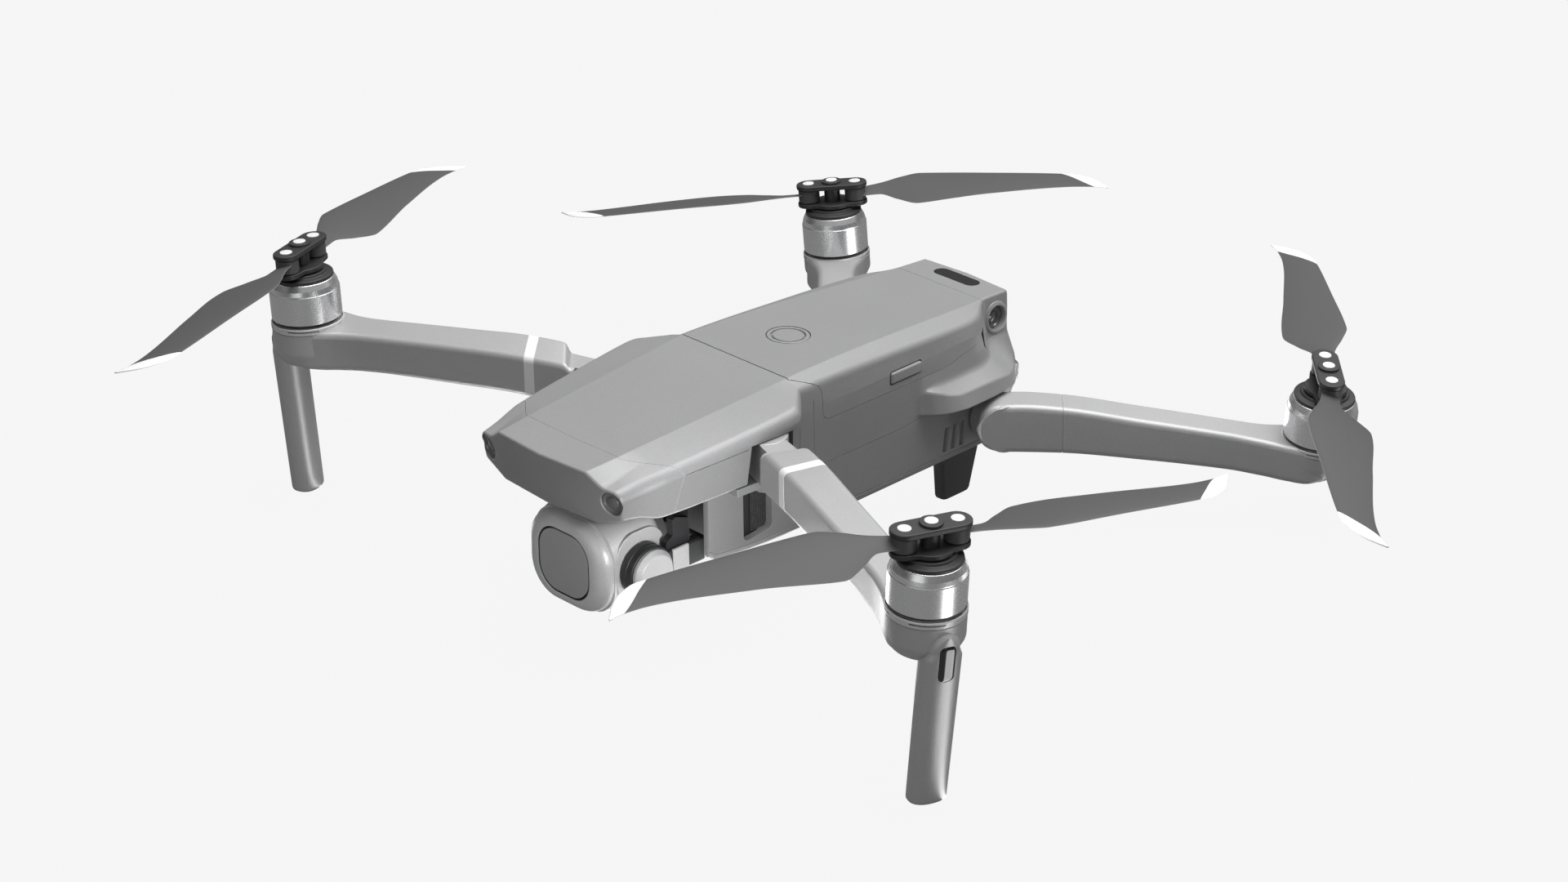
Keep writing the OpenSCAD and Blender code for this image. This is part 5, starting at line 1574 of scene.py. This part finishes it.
def addBlade(name, which, sign, half, material):
    place = rotorPlace(which, half) @ Matrix.Translation((0, 0, blade["z"]))
    pivot = place @ Matrix.Translation((rotor["pivot"], 0, 0))
    wing = addObject(name, sided(placed(wingSolid(), place), sign))
    # the wing is cleared round the pivot, and the bored boss joined to it
    carve(wing, sided(placed(revolve(rodProfile(*blade["clearing"]), 40), pivot), sign))
    carve(wing, sided(placed(bladeBoss(), place), sign), "UNION")
    mapBlade(wing, place, sign)
    finishPiece(wing, name, "blade_grey", material, name, sharpAngle=40)


def makeRotor(which, side, sign, bladeFinish):
    corner = which + "_" + side
    place = rotorPlace(which)
    for name, solid, slot, finish, sharpAngle in (
            ("motor_bell_", bellSolid(), "bell_metal", "bell", 35),
            ("prop_hub_", hubSolid(), "hub_black", "hub", 32),
            ("hub_screws_", screwSolid(), "screw_white", "screw", 32)):
        piece = addObject(name + corner, sided(placed(solid, place), sign))
        finishPiece(piece, "rotor_" + corner, slot, finishes[finish], name + corner, sharpAngle=sharpAngle)
    for half, letter in enumerate("ab"):
        addBlade("blade_" + corner + "_" + letter, which, sign, half, bladeFinish)
    paintNode("motor_stator_" + corner, "copper")


bladeFinish = bladeMaterial()
for which in ("front", "rear"):
    for side, sign in sides:
        makeRotor(which, side, sign, bladeFinish)
print("rotors ready")


# pale floor, soft studio light and the camera, with the lights in metres

studio = {
    "background": 0.966, "floorTone": 0.15, "shadowShare": 0.06, "floorReach": 12.0, "floorZ": -0.0004,
    "worldLevel": (0.05, 0.42), "worldStart": -0.1,
    # pale bars on the floor, one beside each motor, that only glossy faces mirror
    "barWay": (0.978, 0.208, 0.0), "barEdges": (0.959, 0.9955), "barReach": (0.19, 0.215),
    "barLevels": (0.27, 5.0),
    "azimuth": 45.660, "elevation": 26.112, "roll": -0.586, "focal": 4745.3, "imageWidth": 1920,
    "sensor": 36.0,
    "cameraAt": (846.2, -840.7, 617.9),
    # small light on the nose: aimed at, from which way and how far
    "spotAt": (0.034, -0.09, 0.056), "spotFrom": (0.85, -0.32, 0.02), "spotDistance": 0.125,
    "spotPower": 0.62, "spotCone": 43.0, "spotBlend": 0.7, "spotSoft": 0.02,
    # name: (place, aimed at, width, length, power in watts)
    "lamps": {
        "overhead": ((0.1, 0.3, 1.6), (0.0, 0.0, 0.0), 1.4, 1.4, 28.0),
        "behind": ((0.15, 1.15, 1.25), (0.0, 0.0, 0.05), 1.8, 1.2, 6.0),
        "frontFill": ((0.5, -1.4, 0.3), (0.0, -0.05, 0.05), 0.8, 0.8, 2.1),
    },
}


def easedRange(tree, source, start, end, low=0.0, high=1.0):
    node = tree.nodes.new("ShaderNodeMapRange")
    node.interpolation_type = "SMOOTHSTEP"
    for name, value in (("From Min", start), ("From Max", end), ("To Min", low), ("To Max", high)):
        node.inputs[name].default_value = value
    tree.links.new(source, node.inputs["Value"])
    return node.outputs[0]


def vectorNode(tree, operation, a, b=None):
    node = tree.nodes.new("ShaderNodeVectorMath")
    node.operation = operation
    tree.links.new(a, node.inputs[0])
    if b is not None:
        node.inputs[1].default_value = b
    return node.outputs["Value" if operation in ("DOT_PRODUCT", "LENGTH") else "Vector"]


def mixShaders(tree, share, first, second):
    node = tree.nodes.new("ShaderNodeMixShader")
    tree.links.new(share, node.inputs["Fac"])
    tree.links.new(first, node.inputs[1])
    tree.links.new(second, node.inputs[2])
    return node.outputs[0]


def floorBars(tree):
    # each bar fans out from under its motor
    place = tree.nodes.new("ShaderNodeTexCoord").outputs["Object"]
    bars = 0.0
    for corner in ("front_left", "front_right", "rear_left", "rear_right"):
        low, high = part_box("motor_bell_" + corner)
        offset = vectorNode(tree, "SUBTRACT", place, ((low[0] + high[0]) / 2, (low[1] + high[1]) / 2, 0.0))
        facing = vectorNode(tree, "DOT_PRODUCT", vectorNode(tree, "NORMALIZE", offset), studio["barWay"])
        near = easedRange(tree, vectorNode(tree, "LENGTH", offset), *studio["barReach"], 1.0, 0.0)
        bar = mathNode(tree, "MULTIPLY", easedRange(tree, facing, *studio["barEdges"]), near)
        bars = mathNode(tree, "MAXIMUM", bar, bars)
    return easedRange(tree, bars, 0.0, 1.0, *studio["barLevels"])


def floorMaterial():
    # seen directly it is the background with a trace of the shadow, and glossy faces mirror its bars
    material = bpy.data.materials.new("floorPale")
    material.use_nodes = True
    tree = material.node_tree
    tree.nodes.clear()
    output = tree.nodes.new("ShaderNodeOutputMaterial")
    path = tree.nodes.new("ShaderNodeLightPath")
    glow = tree.nodes.new("ShaderNodeEmission")
    glow.inputs["Color"].default_value = (studio["background"],) * 3 + (1,)
    matt = tree.nodes.new("ShaderNodeBsdfDiffuse")
    matt.inputs["Color"].default_value = (studio["floorTone"],) * 3 + (1,)
    sheen = tree.nodes.new("ShaderNodeEmission")
    tree.links.new(floorBars(tree), sheen.inputs["Strength"])
    share = mathNode(tree, "MULTIPLY", path.outputs["Is Camera Ray"], 1.0 - studio["shadowShare"])
    direct = mixShaders(tree, share, matt.outputs[0], glow.outputs[0])
    whole = mixShaders(tree, path.outputs["Is Glossy Ray"], direct, sheen.outputs[0])
    tree.links.new(whole, output.inputs["Surface"])
    return material


def makeFloor():
    reach = studio["floorReach"]
    mesh = bpy.data.meshes.new("floor")
    corners = [(-reach, -reach, 0), (reach, -reach, 0), (reach, reach, 0), (-reach, reach, 0)]
    mesh.from_pydata(corners, [], [(0, 1, 2, 3)])
    mesh.materials.append(floorMaterial())
    floor = linkedObject("floor", mesh)
    floor.location.z = studio["floorZ"]


def makeWorld():
    # a dome that brightens upwards, seen directly as the background
    world = bpy.data.worlds.new("studio")
    bpy.context.scene.world = world
    world.use_nodes = True
    tree = world.node_tree
    path = tree.nodes.new("ShaderNodeLightPath")
    split = tree.nodes.new("ShaderNodeSeparateXYZ")
    tree.links.new(tree.nodes.new("ShaderNodeTexCoord").outputs["Generated"], split.inputs[0])
    level = tree.nodes.new("ShaderNodeMix")
    dome = easedRange(tree, split.outputs["Z"], studio["worldStart"], 1.0, *studio["worldLevel"])
    tree.links.new(path.outputs["Is Camera Ray"], level.inputs["Factor"])
    tree.links.new(dome, level.inputs["A"])
    level.inputs["B"].default_value = studio["background"]
    sky = tree.nodes["Background"]
    sky.inputs["Color"].default_value = (1, 1, 1, 1)
    tree.links.new(level.outputs[0], sky.inputs["Strength"])


def aimLight(name, lamp, place, way):
    holder = linkedObject(name, lamp)
    holder.location = place
    holder.rotation_euler = way.to_track_quat("-Z", "Y").to_euler()


def makeLamps():
    for name, (place, target, width, length, power) in studio["lamps"].items():
        lamp = bpy.data.lights.new(name, "AREA")
        lamp.shape = "RECTANGLE"
        lamp.size, lamp.size_y, lamp.energy = width, length, power
        aimLight(name, lamp, place, Vector(target) - Vector(place))
    lamp = bpy.data.lights.new("noseSpot", "SPOT")
    lamp.energy, lamp.shadow_soft_size = studio["spotPower"], studio["spotSoft"]
    lamp.spot_size, lamp.spot_blend = math.radians(studio["spotCone"]), studio["spotBlend"]
    toward = Vector(studio["spotFrom"]).normalized()
    aimLight("noseSpot", lamp, Vector(studio["spotAt"]) + toward * studio["spotDistance"], -toward)


def makeCameraView():
    az, el, roll = (math.radians(studio[k]) for k in ("azimuth", "elevation", "roll"))
    back = Vector((math.sin(az) * math.cos(el), -math.cos(az) * math.cos(el), math.sin(el)))
    right = Vector((math.cos(az), math.sin(az), 0))
    up = back.cross(right)
    right, up = right * math.cos(roll) + up * math.sin(roll), up * math.cos(roll) - right * math.sin(roll)
    view = bpy.data.cameras.new("photoView")
    view.sensor_width = studio["sensor"]
    view.lens = studio["focal"] * studio["sensor"] / studio["imageWidth"]
    holder = linkedObject("photoView", view)
    turn = Matrix((right, up, back)).transposed().to_4x4()
    holder.matrix_world = Matrix.Translation(Vector(studio["cameraAt"]) * unit) @ turn
    bpy.context.scene.camera = holder


makeFloor()
makeWorld()
makeLamps()
makeCameraView()
bpy.context.scene.view_settings.view_transform = "Standard"
print("studio ready")
